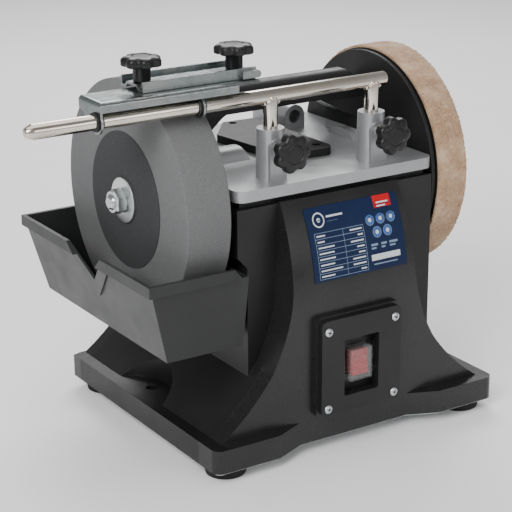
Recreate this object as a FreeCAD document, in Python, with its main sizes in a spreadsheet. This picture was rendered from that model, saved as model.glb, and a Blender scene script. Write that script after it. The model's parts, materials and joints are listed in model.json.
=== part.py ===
import FreeCAD, Part
import math
import os
import re

import Sketcher

# Wet grinding sharpener: water-cooled stone, leather honing wheel, tool support bar and jig.
#
# Design frame: X along the wheel shaft (stone at -X, honing wheel at +X), Y = 0 on the shaft's
# axis with the control panel at -Y, Z up from the floor.  Every node then takes the same shift,
# so that the origin of the finished part is the centre of its footprint box.

Vector = FreeCAD.Vector

SIZES = {
    # footprint shift
    "shift_x": 61.0, "shift_y": 9.75,
    # base and housing
    "base_x": 142.5, "base_front": 134.5, "base_back": 115, "base_low": 9.5, "rim_high": 29.5,
    "rim_in": 131, "seam_front": 107, "seam_back": 100, "wall": 3,
    "bell_low_x": 82, "bell_low_z": 77.3, "bell_mid_x": 60.5, "bell_mid_z": 155,
    "bell_top_x": 58.5, "bell_top_z": 213,
    "core_x": 97, "core_y": 96, "core_high": 211.5,
    "recess_x": 88, "recess_high": 172,
    "panel_front": 123, "panel_back": 113, "panel_high": 125, "neck_front": 98, "neck_back": 98,
    "block_in": 82, "block_out": 55, "corner": 8,
    "bench_y": 8.4, "bench_x": 120, "bench_r": 5.25, "scallop_x": 145, "scallop_r": 40,
    "post_r": 12,
    # feet
    "gland_x": 45, "gland_z": 50, "tie_x": 78, "tie_y": 80,
    "foot_r": 18, "foot_x": 121, "foot_front": 113, "foot_back": 93, "sheet": 2,
    # top plate
    "plate_x": 97.5, "plate_y": 98, "plate_low": 217.5, "plate_high": 227, "plate_corner": 9,
    "skirt_x": 92, "skirt_y": 91,
    "axle_z": 205, "axle_r": 6, "boss_r": 30, "boss_core_r": 15, "bush_r": 9, "run_gap": 0.05,
    "boss_left_end": 36, "boss_right_end": 71, "boss_out": 97.5, "bush_len": 22,
    "rail_in": 79, "rail_front": 12, "rail_back": 35, "rail_high": 235,
    "collar_x": 50, "collar_y": 72, "collar_r": 11.3, "collar_foot_r": 12.2, "collar_high": 267.7,
    "screw_boss_r": 8, "screw_boss_y": 84, "lock_z": 253, "lock_r": 4,
    "cover_high": 234, "handle_bolt_x": 87, "knob_front": 108, "knob_back": 90,
    "lug_x": 52, "lug_half": 10.5, "lug_front": 44, "lug_z": 238.5,
    # support bar
    "bar_r": 6, "bar_z": 293.8, "bar_left": 264.5, "bar_right": 63, "leg_low": 200,
    # wheels
    "stone_r": 100, "stone_out": 144.5, "stone_in": 104.5, "blotter_r": 57, "blotter": 0.6,
    "washer_r": 19, "washer": 2.5, "nut_flats": 19, "nut_len": 10, "shaft_left": 160.5,
    "shaft_right": 139, "spacer_r": 10, "flange": 3,
    "hone_in": 103.5, "hone_out": 133.5, "hone_r": 99, "drum_r": 96.2, "drum_rim": 8,
    "drum_hub_r": 16, "web_in": 121, "web_out": 126,
    "shield_in": 98.5, "shield_out": 102, "shield_r": 95,
    # drive
    "roller_r": 14, "roller_in": 105.5, "roller_out": 119.5, "track_gap": 0.3, "rotor_shaft_r": 6,
    "stator_r": 52, "rotor_r": 28, "air_gap": 0.5, "motor_half": 32, "shell_len": 18,
    "hinge_y": 70, "hinge_z": 168, "hinge_r": 4,
    # water trough
    "trough_out": 187, "trough_in": 95.5, "trough_y": 113, "trough_high": 170,
    "trough_low": 101.5, "trough_low_out": 169, "trough_low_in": 97.5, "trough_low_y": 104,
    "trough_wall": 2.2, "lip": 1.4, "lip_tall": 9,
    "vee_back": 28, "vee_mid": 6, "vee_front": 33, "vee_low": 144,
    "guide_y": 40, "guide_half": 3, "guide_low": 105, "guide_high": 158, "guide_gap": 0.4,
    # jig
    "jig_left": 206, "jig_right": 84, "jig_far": 64, "jig_front": 80, "jig_back": 45,
    "jig_high": 309.5, "jig_bend": 3.5, "ridge": 3,
    "jig_sheet": 2, "jig_flange": 301.5, "ear_r": 9.5, "ear_hole_r": 7.6, "ear_right": 117,
    "clamp_left": 164, "clamp_right": 62, "clamp_front": 70, "clamp_back": 35, "clamp_high": 318.2,
    "jig_knob_left": 155, "jig_knob_right": 71.5, "jig_knob_y": 52, "stud_r": 3,
    "knob_r": 16.2, "knob_thick": 8, "stem_r": 6.2, "jig_knob_low": 327, "lobe_r": 4.6,
    # switch
    "pad_x": 42.5, "pad_low": 31.5, "pad_high": 119.5, "pad_front": 128,
    "switch_x": 40, "switch_low": 34, "switch_high": 117, "switch_front": 132.5,
    "window_x": 17.3, "window_low": 48, "window_high": 97.5,
    "rocker_x": 8.1, "rocker_axis_y": 119, "rocker_axis_z": 72.75,
    "frame_front": 121.5, "cover_front": 132.4, "cover_x": 11.2, "cover_half": 13.9,
    "tag_left": 40, "tag_right": 52.5, "tag_tall": 61, "tag_z": 147.5, "tag_thick": 0.6,
    # handle
    "grip_high": 286, "grip_low": 263, "grip_x": 48, "grip_y": 12, "grip_r": 14,
    "handle_x": 95, "handle_bend_x": 75, "handle_bend_z": 262, "handle_foot_z": 246,
}

doc = FreeCAD.newDocument("wet_grinding_sharpener")
sheet = doc.addObject("Spreadsheet::Sheet", "dims")
for row, (alias, number) in enumerate(SIZES.items(), start=1):
    sheet.set(f"A{row}", alias)
    sheet.set(f"B{row}", str(number))
    sheet.setAlias(f"B{row}", alias)
doc.recompute()

NODES = []
BASES = {}


def expand(text):
    """Prefix every size's name in an expression with the sheet that holds it."""
    return re.sub(r"[a-z_]\w*", lambda word: "dims." + word[0] if word[0] in SIZES else word[0],
                  str(text))


def value(text):
    """Number that an expression has now."""
    return float(sheet.evalExpression(expand(text)))


def bind(item, prop, text):
    item.setExpression(prop, expand(text))


def node(label, solid):
    """Register a finished sub-part under its own label, shifted into the part's frame."""
    for axis in "xy":
        own = BASES.get(solid.Name, {}).get(axis, "0")
        bind(solid, f"Placement.Base.{axis}", f"{own} + shift_{axis}")
    solid.Label = label
    NODES.append(solid)
    return solid


def place(solid, x, y, z):
    BASES[solid.Name] = {"x": x, "y": y, "z": z}
    for axis, text in BASES[solid.Name].items():
        bind(solid, f"Placement.Base.{axis}", text)
    return solid


def block(name, x, y, z):
    """Box between the (low, high) expressions of each axis."""
    solid = doc.addObject("Part::Box", name)
    for prop, (low, high) in zip(("Length", "Width", "Height"), (x, y, z)):
        bind(solid, prop, f"({high}) - ({low})")
    return place(solid, x[0], y[0], z[0])


TURNS = {
    "X": FreeCAD.Rotation(Vector(0, 1, 0), 90),
    "Y": FreeCAD.Rotation(Vector(1, 0, 0), -90),
    "Z": FreeCAD.Rotation(),
}


def rod(name, axis, radius, span, a, b):
    """Cylinder along an axis; a and b are its centre on the other two axes, in X, Y, Z order."""
    solid = doc.addObject("Part::Cylinder", name)
    solid.Placement.Rotation = TURNS[axis]
    bind(solid, "Radius", radius)
    bind(solid, "Height", f"({span[1]}) - ({span[0]})")
    centre = {"X": (span[0], a, b), "Y": (a, span[0], b), "Z": (a, b, span[0])}[axis]
    return place(solid, *centre)


def cone(name, axis, radii, span, a, b):
    solid = doc.addObject("Part::Cone", name)
    solid.Placement.Rotation = TURNS[axis]
    bind(solid, "Radius1", radii[0])
    bind(solid, "Radius2", radii[1])
    bind(solid, "Height", f"({span[1]}) - ({span[0]})")
    centre = {"X": (span[0], a, b), "Y": (a, span[0], b), "Z": (a, b, span[0])}[axis]
    return place(solid, *centre)


def hexagon(name, axis, flats, span, a, b):
    solid = doc.addObject("Part::Prism", name)
    solid.Placement.Rotation = TURNS[axis]
    solid.Polygon = 6
    bind(solid, "Circumradius", f"({flats}) / sqrt(3)")
    bind(solid, "Height", f"({span[1]}) - ({span[0]})")
    centre = {"X": (span[0], a, b), "Y": (a, span[0], b), "Z": (a, b, span[0])}[axis]
    return place(solid, *centre)


def fuse(name, *solids):
    joined = doc.addObject("Part::MultiFuse", name)
    joined.Shapes = list(solids)
    return joined


def common(name, *solids):
    shared = doc.addObject("Part::MultiCommon", name)
    shared.Shapes = list(solids)
    return shared


def cut(name, solid, *tools):
    result = doc.addObject("Part::Cut", name)
    result.Base = solid
    result.Tool = tools[0] if len(tools) == 1 else fuse(name + "_tools", *tools)
    return result


def group(name, *solids):
    """Several separate solids in one node."""
    bundle = doc.addObject("Part::Compound", name)
    bundle.Links = list(solids)
    return bundle


def ring(name, axis, outer, inner, span, a, b):
    longer = (f"({span[0]}) - 1", f"({span[1]}) + 1")
    return cut(name, rod(name + "_outer", axis, outer, span, a, b),
               rod(name + "_bore", axis, inner, longer, a, b))


def body(name):
    return doc.addObject("PartDesign::Body", name)


PLANES = {"X": "YZ_Plane", "Y": "XZ_Plane", "Z": "XY_Plane"}


def sketch(owner, axis, offset, path, circles=()):
    """Closed outline on one of the body's own planes, every corner bound to the sheet.

    A path corner is (u, v), or (u, v, via_u, via_v) where the edge that arrives at it is an arc.
    """
    made = owner.newObject("Sketcher::SketchObject", owner.Name + "_sketch")
    plane = next(item for item in owner.Origin.OriginFeatures if item.Role == PLANES[axis])
    made.AttachmentSupport = [(plane, "")]
    made.MapMode = "FlatFace"
    bind(made, "AttachmentOffset.Base.z", offset)
    spots = [Vector(value(corner[0]), value(corner[1]), 0) for corner in path]
    ends = []
    for index, corner in enumerate(path):
        start = spots[index - 1]
        stop = spots[index]
        if len(corner) == 4:
            via = Vector(value(corner[2]), value(corner[3]), 0)
            left_turn = (via - start).cross(stop - via).z > 0
            arc = Part.Arc(start, via, stop) if left_turn else Part.Arc(stop, via, start)
            edge = made.addGeometry(arc)
            ends.append((edge, 1, 2) if left_turn else (edge, 2, 1))
        else:
            edge = made.addGeometry(Part.LineSegment(start, stop))
            ends.append((edge, 1, 2))
    for index, corner in enumerate(path):
        edge, _, finish = ends[index]
        following, begin, _ = ends[(index + 1) % len(path)]
        made.addConstraint(Sketcher.Constraint("Coincident", edge, finish, following, begin))
        for kind, number, text in (("DistanceX", spots[index].x, corner[0]),
                                   ("DistanceY", spots[index].y, corner[1])):
            entry = made.addConstraint(Sketcher.Constraint(kind, -1, 1, edge, finish, number))
            bind(made, f"Constraints[{entry}]", text)
    for across, along, radius in circles:
        centre = Vector(value(across), value(along), 0)
        edge = made.addGeometry(Part.Circle(centre, Vector(0, 0, 1), value(radius)))
        for kind, number, text in (("DistanceX", centre.x, across), ("DistanceY", centre.y, along)):
            entry = made.addConstraint(Sketcher.Constraint(kind, -1, 1, edge, 3, number))
            bind(made, f"Constraints[{entry}]", text)
        entry = made.addConstraint(Sketcher.Constraint("Radius", edge, value(radius)))
        bind(made, f"Constraints[{entry}]", radius)
    return made


def pad(owner, axis, span, path=(), circles=()):
    """Add the outline between two stations along the axis."""
    low, high = span
    offset = f"-({high})" if axis == "Y" else low
    feature = owner.newObject("PartDesign::Pad", owner.Name + "_pad")
    feature.Profile = sketch(owner, axis, offset, path, circles)
    bind(feature, "Length", f"({high}) - ({low})")
    return feature


def pocket(owner, axis, span, path=(), circles=()):
    """Remove the outline between two stations along the axis."""
    low, high = span
    offset = f"-({low})" if axis == "Y" else high
    feature = owner.newObject("PartDesign::Pocket", owner.Name + "_pocket")
    feature.Profile = sketch(owner, axis, offset, path, circles)
    bind(feature, "Length", f"({high}) - ({low})")
    return feature


def mirrored(half):
    """Close a right-hand outline, given from bottom to top, with its mirror image in X = 0."""
    left = []
    for index in range(len(half) - 1, -1, -1):
        across, along = half[index][:2]
        via = half[index + 1][2:] if index + 1 < len(half) else ()
        left.append((f"-({across})", along) + ((f"-({via[0]})", via[1]) if via else ()))
    return list(half) + left


def rectangle(x, y):
    return [(x[0], y[0]), (x[1], y[0]), (x[1], y[1]), (x[0], y[1])]


def both(name):
    """Expression pair for a length centred on zero."""
    return f"-({name})", name


# ---------------------------------------------------------------- housing and its end shells

def bell(inset, low, with_neck):
    """Bell-shaped section that the deck and both end shells share, offset inward by inset."""
    half = [
        (f"base_x - {inset}", low),
        (f"base_x - {inset}", f"rim_high - {inset}"),
        ("rim_in", f"rim_high - {inset}"),
        (f"bell_low_x - 0.8 * {inset}", f"bell_low_z - 0.6 * {inset}",
         f"103 - 0.7 * {inset}", f"52.5 - 0.7 * {inset}"),
    ]
    if with_neck:
        half += [
            (f"bell_mid_x - {inset}", "bell_mid_z", f"68.5 - {inset}", "107"),
            (f"bell_top_x - {inset}", f"bell_top_z - {inset}"),
        ]
    return mirrored(half)


def panel_r(which):
    """Radius of the arc that leans an end panel back, tangent to its upright lower part."""
    rise = "(bell_top_z - panel_high)"
    run = f"(panel_{which} - neck_{which})"
    return f"(({rise} * {rise} + {run} * {run}) / 2 / {run})"


def panel_sag(which, height):
    """How far an end panel has leaned back at a height above its upright part."""
    radius = panel_r(which)
    return f"({radius} - sqrt({radius} * {radius} - {height} * {height}))"


def end_shell_blank(name, side, inset):
    """Solid end shell; side is -1 at the front and 1 at the back."""
    which = "front" if side < 0 else "back"

    def station(text, grow="0"):
        return f"{side} * ({text} - {grow})"

    def span(near, far, grow="0"):
        ends = (station(near), station(far, grow))
        return ends if side > 0 else ends[::-1]

    blank = body(name)
    low = f"base_low - {inset}"
    joint = f"seam_{which} - {inset}"
    pad(blank, "Y", span(joint, f"panel_{which}", inset), bell(inset, low, True))
    pad(blank, "Y", span(f"core_y - {inset}", f"seam_{which}"), mirrored([
        ("bell_low_x - wall", "bell_low_z"),
        (f"bell_low_x - 0.8 * {inset}", f"bell_low_z + 0.01"),
        (f"bell_mid_x - {inset}", "bell_mid_z", f"68.5 - {inset}", "107"),
        (f"bell_top_x - {inset}", f"bell_top_z - {inset}"),
    ]))
    half_rise = "((bell_top_z - panel_high) / 2)"
    slope = [
        (station(f"panel_{which}", inset), "panel_high"),
        (station(f"neck_{which}", inset), "bell_top_z",
         station(f"panel_{which} - {panel_sag(which, half_rise)}", inset),
         f"panel_high + {half_rise}"),
        (station(f"neck_{which}", inset), "bell_top_z + 9"),
        (station(f"panel_{which} + 9"), "bell_top_z + 9"),
        (station(f"panel_{which} + 9"), "panel_high"),
    ]
    pocket(blank, "X", both("base_x"), slope)
    edge = f"base_{which}"
    plan = mirrored([
        (f"base_x - {inset}", station(joint)),
        (f"base_x - {inset}", station(f"{edge} - corner")),
        (f"base_x - corner", station(edge, inset),
         f"base_x - 0.3 * corner - 0.7 * {inset}", station(f"{edge} - 0.3 * corner", f"0.7 * {inset}")),
        ("block_in", station(edge, inset)),
        ("block_out", station(f"panel_{which}", inset)),
    ])
    pad(blank, "Z", (low, f"rim_high - {inset}"), plan)
    return blank


def end_shell(label, side):
    outer = end_shell_blank(label + "_outer", side, "0")
    inner = end_shell_blank(label + "_inner", side, "wall")
    return cut(label, outer, inner)


def motor_z():
    """Height of the motor's axis, so that the roller just clears the drum's inner track."""
    return "(axle_z - drum_r + drum_rim + track_gap + roller_r)"


def housing():
    """Hollow tower with a bell-shaped deck each side, a neck on top and a recess for the trough."""
    shell = body("housing_body")
    roof = "core_high - wall"
    pad(shell, "Y", ("-seam_front", "seam_back"), bell("0", "base_low", False))
    pad(shell, "Y", both("core_y"), [
        ("-recess_x", "rim_high"), ("core_x", "rim_high"), ("core_x", "core_high"),
        ("-core_x", "core_high"), ("-core_x", "recess_high"), ("-recess_x", "recess_high - 10")])
    pad(shell, "Z", (roof, "plate_low"), rectangle(both("skirt_x"), both("skirt_y")))
    pocket(shell, "Y", ("wall - seam_front", "seam_back - wall"), bell("wall", "base_low - 5", False))
    inner_y = ("wall - core_y", "core_y - wall")
    pocket(shell, "Y", inner_y, rectangle(("wall - recess_x", "core_x - wall"), ("rim_high", roof)))
    pocket(shell, "Y", inner_y,
           rectangle(("wall - core_x", "core_x - wall"), ("recess_high + wall", roof)))
    pocket(shell, "Z", (f"{roof} - 1", "plate_low + 1"),
           rectangle(both("skirt_x - wall"), both("skirt_y - wall")))
    for rail in ("-guide_y", "guide_y"):
        pad(shell, "X", ("-recess_x - 5", "-recess_x"), rectangle(
            (f"{rail} - guide_half", f"{rail} + guide_half"), ("guide_low", "guide_high")))
    gap = "boss_core_r + 0.5"
    pocket(shell, "X", both("core_x + 1"), (), [("0", "axle_z", gap)])
    pocket(shell, "X", both("core_x + 1"), rectangle(both(gap), ("axle_z", "plate_low + 1")))
    pocket(shell, "X", ("core_x - wall - 1", "core_x + 1"), (), [("0", motor_z(), "16")])
    deck = body("deck_solid")
    pad(deck, "Y", ("-seam_front", "seam_back"), bell("0", "base_low", False))
    adds = [shell]
    cuts = []
    for tag, side in (("left", "-1"), ("right", "1")):
        centre = (f"{side} * scallop_x", "bench_y")
        hole = (f"{side} * bench_x", "bench_y")
        cup = rod("scallop_wall_" + tag, "Z", "scallop_r + wall",
                  ("rim_high - wall", "bell_low_z"), *centre)
        adds.append(common("scallop_cup_" + tag, deck, cup))
        adds.append(rod("bench_post_" + tag, "Z", "post_r", ("base_low", "rim_high"), *hole))
        cuts.append(rod("scallop_" + tag, "Z", "scallop_r", ("rim_high", "bell_low_z + 1"), *centre))
        cuts.append(rod("bench_hole_" + tag, "Z", "bench_r", ("base_low - 1", "rim_high + 1"), *hole))
    node("housing", cut("housing_cut", fuse("housing_fuse", *adds), *cuts))


def corners(half_u, half_v, radius, middle="0"):
    """Rounded rectangle whose centre is at (0, middle)."""
    near = f"0.293 * {radius}"
    top = f"{middle} + {half_v}"
    bottom = f"{middle} - {half_v}"
    half = [
        (f"{half_u} - {radius}", bottom),
        (half_u, f"{bottom} + {radius}", f"{half_u} - {near}", f"{bottom} + {near}"),
        (half_u, f"{top} - {radius}"),
        (f"{half_u} - {radius}", top, f"{half_u} - {near}", f"{top} - {near}"),
    ]
    return mirrored(half)


def end_shells():
    """Front and rear bell-shaped shells; the front one carries the raised switch pad."""
    raised = body("switch_pad")
    pad(raised, "Y", ("-pad_front", "2 - panel_front"),
        corners("pad_x", "(pad_high - pad_low) / 2", "6", "(pad_high + pad_low) / 2"))
    window = block("fascia_window", both("window_x + 0.5"), ("-base_front", "-100"),
                   ("window_low - 0.5", "window_high + 0.5"))
    front = fuse("front_with_pad", end_shell("front_shell", -1), raised)
    node("front_fascia", cut("front_fascia_cut", front, window))
    gland_hole = rod("gland_hole", "Y", "8", ("90", "base_back + 1"), "gland_x", "gland_z")
    node("rear_fascia", cut("rear_fascia_cut", end_shell("rear_shell", 1), gland_hole))
    barrel = ring("gland_barrel", "Y", "7.9", "3.5", ("100", "panel_back"), "gland_x", "gland_z")
    flange = ring("gland_flange", "Y", "12", "3.5", ("panel_back", "base_back"),
                  "gland_x", "gland_z")
    node("cable_gland", fuse("gland", barrel, flange))


FEET = [(side, end) for side in ("-foot_x", "foot_x") for end in ("-foot_front", "foot_back")]
TIES = [(side, end) for side in ("-tie_x", "tie_x") for end in ("-tie_y", "tie_y")]


COVER_SCREWS = [("2.9", "70"), ("22.6", "-32.2")]
HANDLE_ROWS = ("4", "20")


def underside():
    """Sheet steel floor, rubber feet and the long bolts that tie floor and top plate together."""
    floor = body("floor_body")
    plan = mirrored([
        ("base_x - wall", "base_back - wall"),
        ("base_x - wall", "corner - base_front"),
        ("base_x - corner", "wall - base_front",
         "base_x - 0.3 * corner - 0.7 * wall", "0.3 * corner + 0.7 * wall - base_front"),
        ("block_in", "wall - base_front"),
        ("block_out", "wall - panel_front"),
    ])
    holes = [(f"{side} * bench_x", "bench_y", "bench_r") for side in ("-1", "1")]
    holes += [(across, along, "2.1") for across, along in FEET]
    holes += [(across, along, "3.1") for across, along in TIES]
    holes += [(f"{column} * 15", f"{row} * 12 + 20", "4") for column in range(-3, 4)
              for row in range(-2, 3)]
    pad(floor, "Z", ("base_low - sheet", "base_low"), plan, holes)
    node("bottom_plate", floor)
    feet = []
    screws = []
    bolts = []
    for index, (across, along) in enumerate(FEET):
        foot = cone(f"foot_{index}", "Z", ("foot_r - 1.5", "foot_r"), ("0", "base_low - sheet"),
                    across, along)
        sink = rod(f"foot_sink_{index}", "Z", "5.2", ("-1", "4.5"), across, along)
        hole = rod(f"foot_hole_{index}", "Z", "2.1", ("0", "base_low"), across, along)
        feet.append(cut(f"foot_cut_{index}", foot, sink, hole))
        head = rod(f"foot_head_{index}", "Z", "4.2", ("2", "4.5"), across, along)
        shank = rod(f"foot_shank_{index}", "Z", "2", ("4.5", "14"), across, along)
        screws.append(fuse(f"foot_screw_{index}", head, shank))
    for index, (across, along) in enumerate(TIES):
        head = hexagon(f"tie_head_{index}", "Z", "10", ("base_low - sheet - 4", "base_low - sheet"),
                       across, along)
        shank = rod(f"tie_shank_{index}", "Z", "3", ("base_low - sheet", "plate_high - 3"),
                    across, along)
        bolts.append(fuse(f"tie_bolt_{index}", head, shank))
    node("rubber_feet", group("feet", *feet))
    node("foot_screws", group("foot_screw_set", *screws))
    node("tie_bolts", group("tie_bolt_set", *bolts))


def top_plate():
    """Cast plate with shaft bosses, bar collars, rear sleeve lugs and the handle's rails."""
    blank = body("plate_blank")
    pad(blank, "Z", ("plate_low", "plate_high"), corners("plate_x", "plate_y", "plate_corner"))
    adds = [blank]
    cuts = []
    above = ("plate_low", "axle_z + boss_r + 1")
    for side, span in (("left", ("-boss_out", "-boss_left_end")),
                       ("right", ("boss_right_end", "boss_out"))):
        bulge = rod(f"bulge_{side}", "X", "boss_r", span, "0", "axle_z")
        keep = block(f"bulge_keep_{side}", span, both("boss_r + 1"), above)
        adds.append(common(f"bulge_top_{side}", bulge, keep))
        adds.append(rod(f"boss_core_{side}", "X", "boss_core_r", span, "0", "axle_z"))
        adds.append(block(f"boss_web_{side}", span, both("boss_core_r - 3"),
                          ("axle_z", "plate_low + 1")))
    cuts.append(rod("boss_bore", "X", "bush_r", both("boss_out + 1"), "0", "axle_z"))
    for side in ("-1", "1"):
        tag = side.replace("-", "m")
        middle = f"{side} * collar_x"
        y = "-collar_y"
        rail_ends = ("rail_in", "boss_out") if side == "1" else ("-boss_out", "-rail_in")
        adds.append(block("rail_" + tag, rail_ends, ("-rail_front", "rail_back"),
                          ("plate_high - 1", "rail_high")))
        adds.append(cone("collar_" + tag, "Z", ("collar_foot_r", "collar_r"),
                         ("plate_high - 1", "collar_high"), middle, y))
        adds.append(rod("collar_tail_" + tag, "Z", "10", ("axle_z", "plate_low + 1"), middle, y))
        sides = (f"{middle} - screw_boss_r", f"{middle} + screw_boss_r")
        adds.append(block("screw_block_" + tag, sides, ("-screw_boss_y", y),
                          ("plate_high - 1", "lock_z")))
        adds.append(rod("screw_arch_" + tag, "Y", "screw_boss_r", ("-screw_boss_y", y),
                        middle, "lock_z"))
        cuts.append(rod("leg_bore_" + tag, "Z", "bar_r + run_gap",
                        ("axle_z - 1", "collar_high + 1"), middle, y))
        cuts.append(rod("lock_bore_" + tag, "Y", "lock_r + run_gap",
                        ("-screw_boss_y - 1", y), middle, "lock_z"))
        lug = f"{side} * lug_x"
        adds.append(block("lug_block_" + tag, (f"{lug} - lug_half", f"{lug} + lug_half"),
                          ("lug_front", "plate_y - 1"), ("plate_high - 1", "lug_z")))
        adds.append(rod("lug_arch_" + tag, "Y", "lug_half", ("lug_front", "plate_y - 1"),
                        lug, "lug_z"))
        cuts.append(rod("lug_bore_" + tag, "Y", "bar_r + run_gap", ("lug_front - 1", "plate_y"),
                        lug, "lug_z"))
        for row in HANDLE_ROWS:
            cuts.append(rod(f"rail_hole_{tag}_{row}", "Z", "2.6", ("plate_low + 2", "rail_high + 1"),
                            f"{side} * handle_bolt_x", row))
    for index, (across, along) in enumerate(COVER_SCREWS):
        cuts.append(rod(f"cover_tap_{index}", "Z", "2.1", ("plate_low + 1", "plate_high + 1"),
                        across, along))
    for index, (across, along) in enumerate(TIES):
        cuts.append(rod(f"tie_tap_{index}", "Z", "3.05", ("plate_low - 1", "plate_high - 3"),
                        across, along))
    node("top_plate", cut("top_plate_cut", fuse("top_plate_cast", *adds), *cuts))
    for side, span in (("left", ("-boss_out", "bush_len - boss_out")),
                       ("right", ("boss_out - bush_len", "boss_out"))):
        node("shaft_bush_" + side, ring("bush_" + side, "X", "bush_r", "axle_r + run_gap", span,
                                        "0", "axle_z"))


def centre_cover():
    """Flat cover screwed to the middle of the top plate."""
    plate = body("cover_body")
    outline = [("-30.3", "42.7"), ("-23.4", "-10.4"), ("7.8", "-45"), ("24.9", "-46"),
               ("31.9", "-34.8", "30", "-43"), ("31.7", "28.7"), ("29.5", "75.7"), ("-3", "77.5")]
    pad(plate, "Z", ("plate_high", "cover_high"), outline,
        [(across, along, "3.6") for across, along in COVER_SCREWS])
    node("centre_cover", plate)
    screws = []
    for index, (across, along) in enumerate(COVER_SCREWS):
        head = rod(f"cover_head_{index}", "Z", "3.4", ("plate_high", "plate_high + 2"),
                   across, along)
        shank = rod(f"cover_shank_{index}", "Z", "2", ("plate_low + 2", "plate_high"),
                    across, along)
        screws.append(fuse(f"cover_screw_{index}", head, shank))
    node("cover_screws", group("cover_screw_set", *screws))


def carry_handle():
    """Moulded handle whose feet stand on the rails at each end of the top plate."""
    arch = body("handle_arch")
    pad(arch, "Y", ("-rail_front", "rail_back"), mirrored([
        ("grip_x", "grip_low"), ("rail_in", "handle_foot_z"), ("rail_in", "rail_high"),
        ("handle_x", "rail_high"), ("handle_x", "handle_bend_z"),
        ("handle_bend_x", "grip_high", "handle_x - 5.9", "grip_high - 7")]))
    section = body("handle_section")
    pad(section, "X", both("handle_x"), [
        ("-rail_front", "rail_high - 1"), ("rail_back", "rail_high - 1"),
        ("rail_back", "handle_foot_z"), ("grip_y + grip_r", "grip_low - 2"),
        ("grip_y + grip_r", "grip_high - grip_r"),
        ("grip_y - grip_r", "grip_high - grip_r", "grip_y", "grip_high"),
        ("grip_y - grip_r", "grip_low - 2"), ("-rail_front", "handle_foot_z")])
    sinks = []
    bolts = []
    for side in ("-1", "1"):
        for row in HANDLE_ROWS:
            tag = side.replace("-", "m") + "_" + row
            middle = f"{side} * handle_bolt_x"
            sinks.append(rod("handle_hole_" + tag, "Z", "2.6", ("rail_high - 1", "grip_high + 1"),
                             middle, row))
            sinks.append(rod("handle_sink_" + tag, "Z", "5", ("handle_foot_z", "grip_high + 1"),
                             middle, row))
            head = rod("handle_head_" + tag, "Z", "4.6", ("handle_foot_z", "handle_foot_z + 4"),
                       middle, row)
            shank = rod("handle_shank_" + tag, "Z", "2.5", ("plate_low + 3", "handle_foot_z"),
                        middle, row)
            bolts.append(fuse("handle_bolt_" + tag, head, shank))
    node("carry_handle", cut("handle_cut", common("handle_blank", arch, section), *sinks))
    node("handle_bolts", group("handle_bolt_set", *bolts))


def spun(item, count, height):
    """Copies of a piece turned evenly about an axis along X at that height."""
    copies = []
    for index in range(count):
        copy = doc.addObject("Part::Compound", f"{item.Name}_turn_{index}")
        copy.Links = [item]
        copy.Placement = FreeCAD.Placement(
            Vector(), FreeCAD.Rotation(Vector(1, 0, 0), 360 / count * index),
            Vector(0, 0, value(height)))
        copies.append(copy)
    return copies


def wheels():
    """Everything that turns on the main shaft."""
    axis = ("0", "axle_z")
    spindle = rod("spindle", "X", "axle_r", ("1.5 - shaft_left", "shaft_right - 1.5"), *axis)
    ends = [cone("spindle_left", "X", ("axle_r - 1.2", "axle_r"),
                 ("-shaft_left", "1.5 - shaft_left"), *axis),
            cone("spindle_right", "X", ("axle_r", "axle_r - 1.2"),
                 ("shaft_right - 1.5", "shaft_right"), *axis)]
    node("wheel_shaft", fuse("wheel_shaft_fuse", spindle, *ends))
    node("grinding_wheel", ring("stone", "X", "stone_r", "axle_r", ("-stone_out", "-stone_in"),
                                *axis))
    outer = ("-stone_out - blotter", "-stone_out")
    inner = ("-stone_in", "blotter - stone_in")
    node("paper_washers", group("paper_pair",
                                ring("paper_out", "X", "blotter_r", "axle_r", outer, *axis),
                                ring("paper_in", "X", "blotter_r", "axle_r", inner, *axis)))
    steel_out = (f"{outer[0]} - washer", outer[0])
    steel_in = (inner[1], f"{inner[1]} + flange")
    node("flange_washers", group("flange_pair",
                                 ring("flange_out", "X", "washer_r", "axle_r", steel_out, *axis),
                                 ring("flange_in", "X", "washer_r", "axle_r", steel_in, *axis)))
    node("shaft_spacers", group("spacer_pair",
                                ring("spacer_left", "X", "spacer_r", "axle_r",
                                     (steel_in[1], "-boss_out - 0.5"), *axis),
                                ring("spacer_right", "X", "spacer_r", "axle_r",
                                     ("boss_out + 0.5", "hone_in + 1"), *axis)))
    nut_span = (f"{steel_out[0]} - nut_len", steel_out[0])
    longer = (f"{nut_span[0]} - 1", f"{nut_span[1]} + 1")
    node("arbor_nut", cut("arbor_nut_cut",
                          hexagon("arbor_nut_hex", "X", "nut_flats", nut_span, *axis),
                          rod("arbor_nut_bore", "X", "axle_r", longer, *axis)))
    rim = ring("drum_rim_ring", "X", "drum_r", "drum_r - drum_rim", ("hone_in", "hone_out"), *axis)
    web = ring("drum_web", "X", "drum_r - 1", "axle_r", ("web_in", "web_out"), *axis)
    hub = ring("drum_hub", "X", "drum_hub_r", "axle_r", ("hone_in + 1", "web_out"), *axis)
    rib = block("drum_rib", ("web_out - 1", "hone_out - 2"), ("-1.5", "1.5"),
                ("axle_z + 22", "axle_z + drum_r - 4"))
    node("honing_drum", fuse("drum_fuse", rim, web, hub, *spun(rib, 6, "axle_z")))
    node("leather_tyre", ring("leather", "X", "hone_r", "drum_r", ("hone_in", "hone_out"), *axis))
    node("honing_washer", ring("hone_washer", "X", "15", "axle_r", ("web_out", "web_out + 2"),
                               *axis))
    node("honing_nut", cut("honing_nut_cut",
                           hexagon("honing_nut_hex", "X", "nut_flats",
                                   ("web_out + 2", "web_out + 2 + nut_len"), *axis),
                           rod("honing_nut_bore", "X", "axle_r",
                               ("web_out + 1", "web_out + 3 + nut_len"), *axis)))


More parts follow.
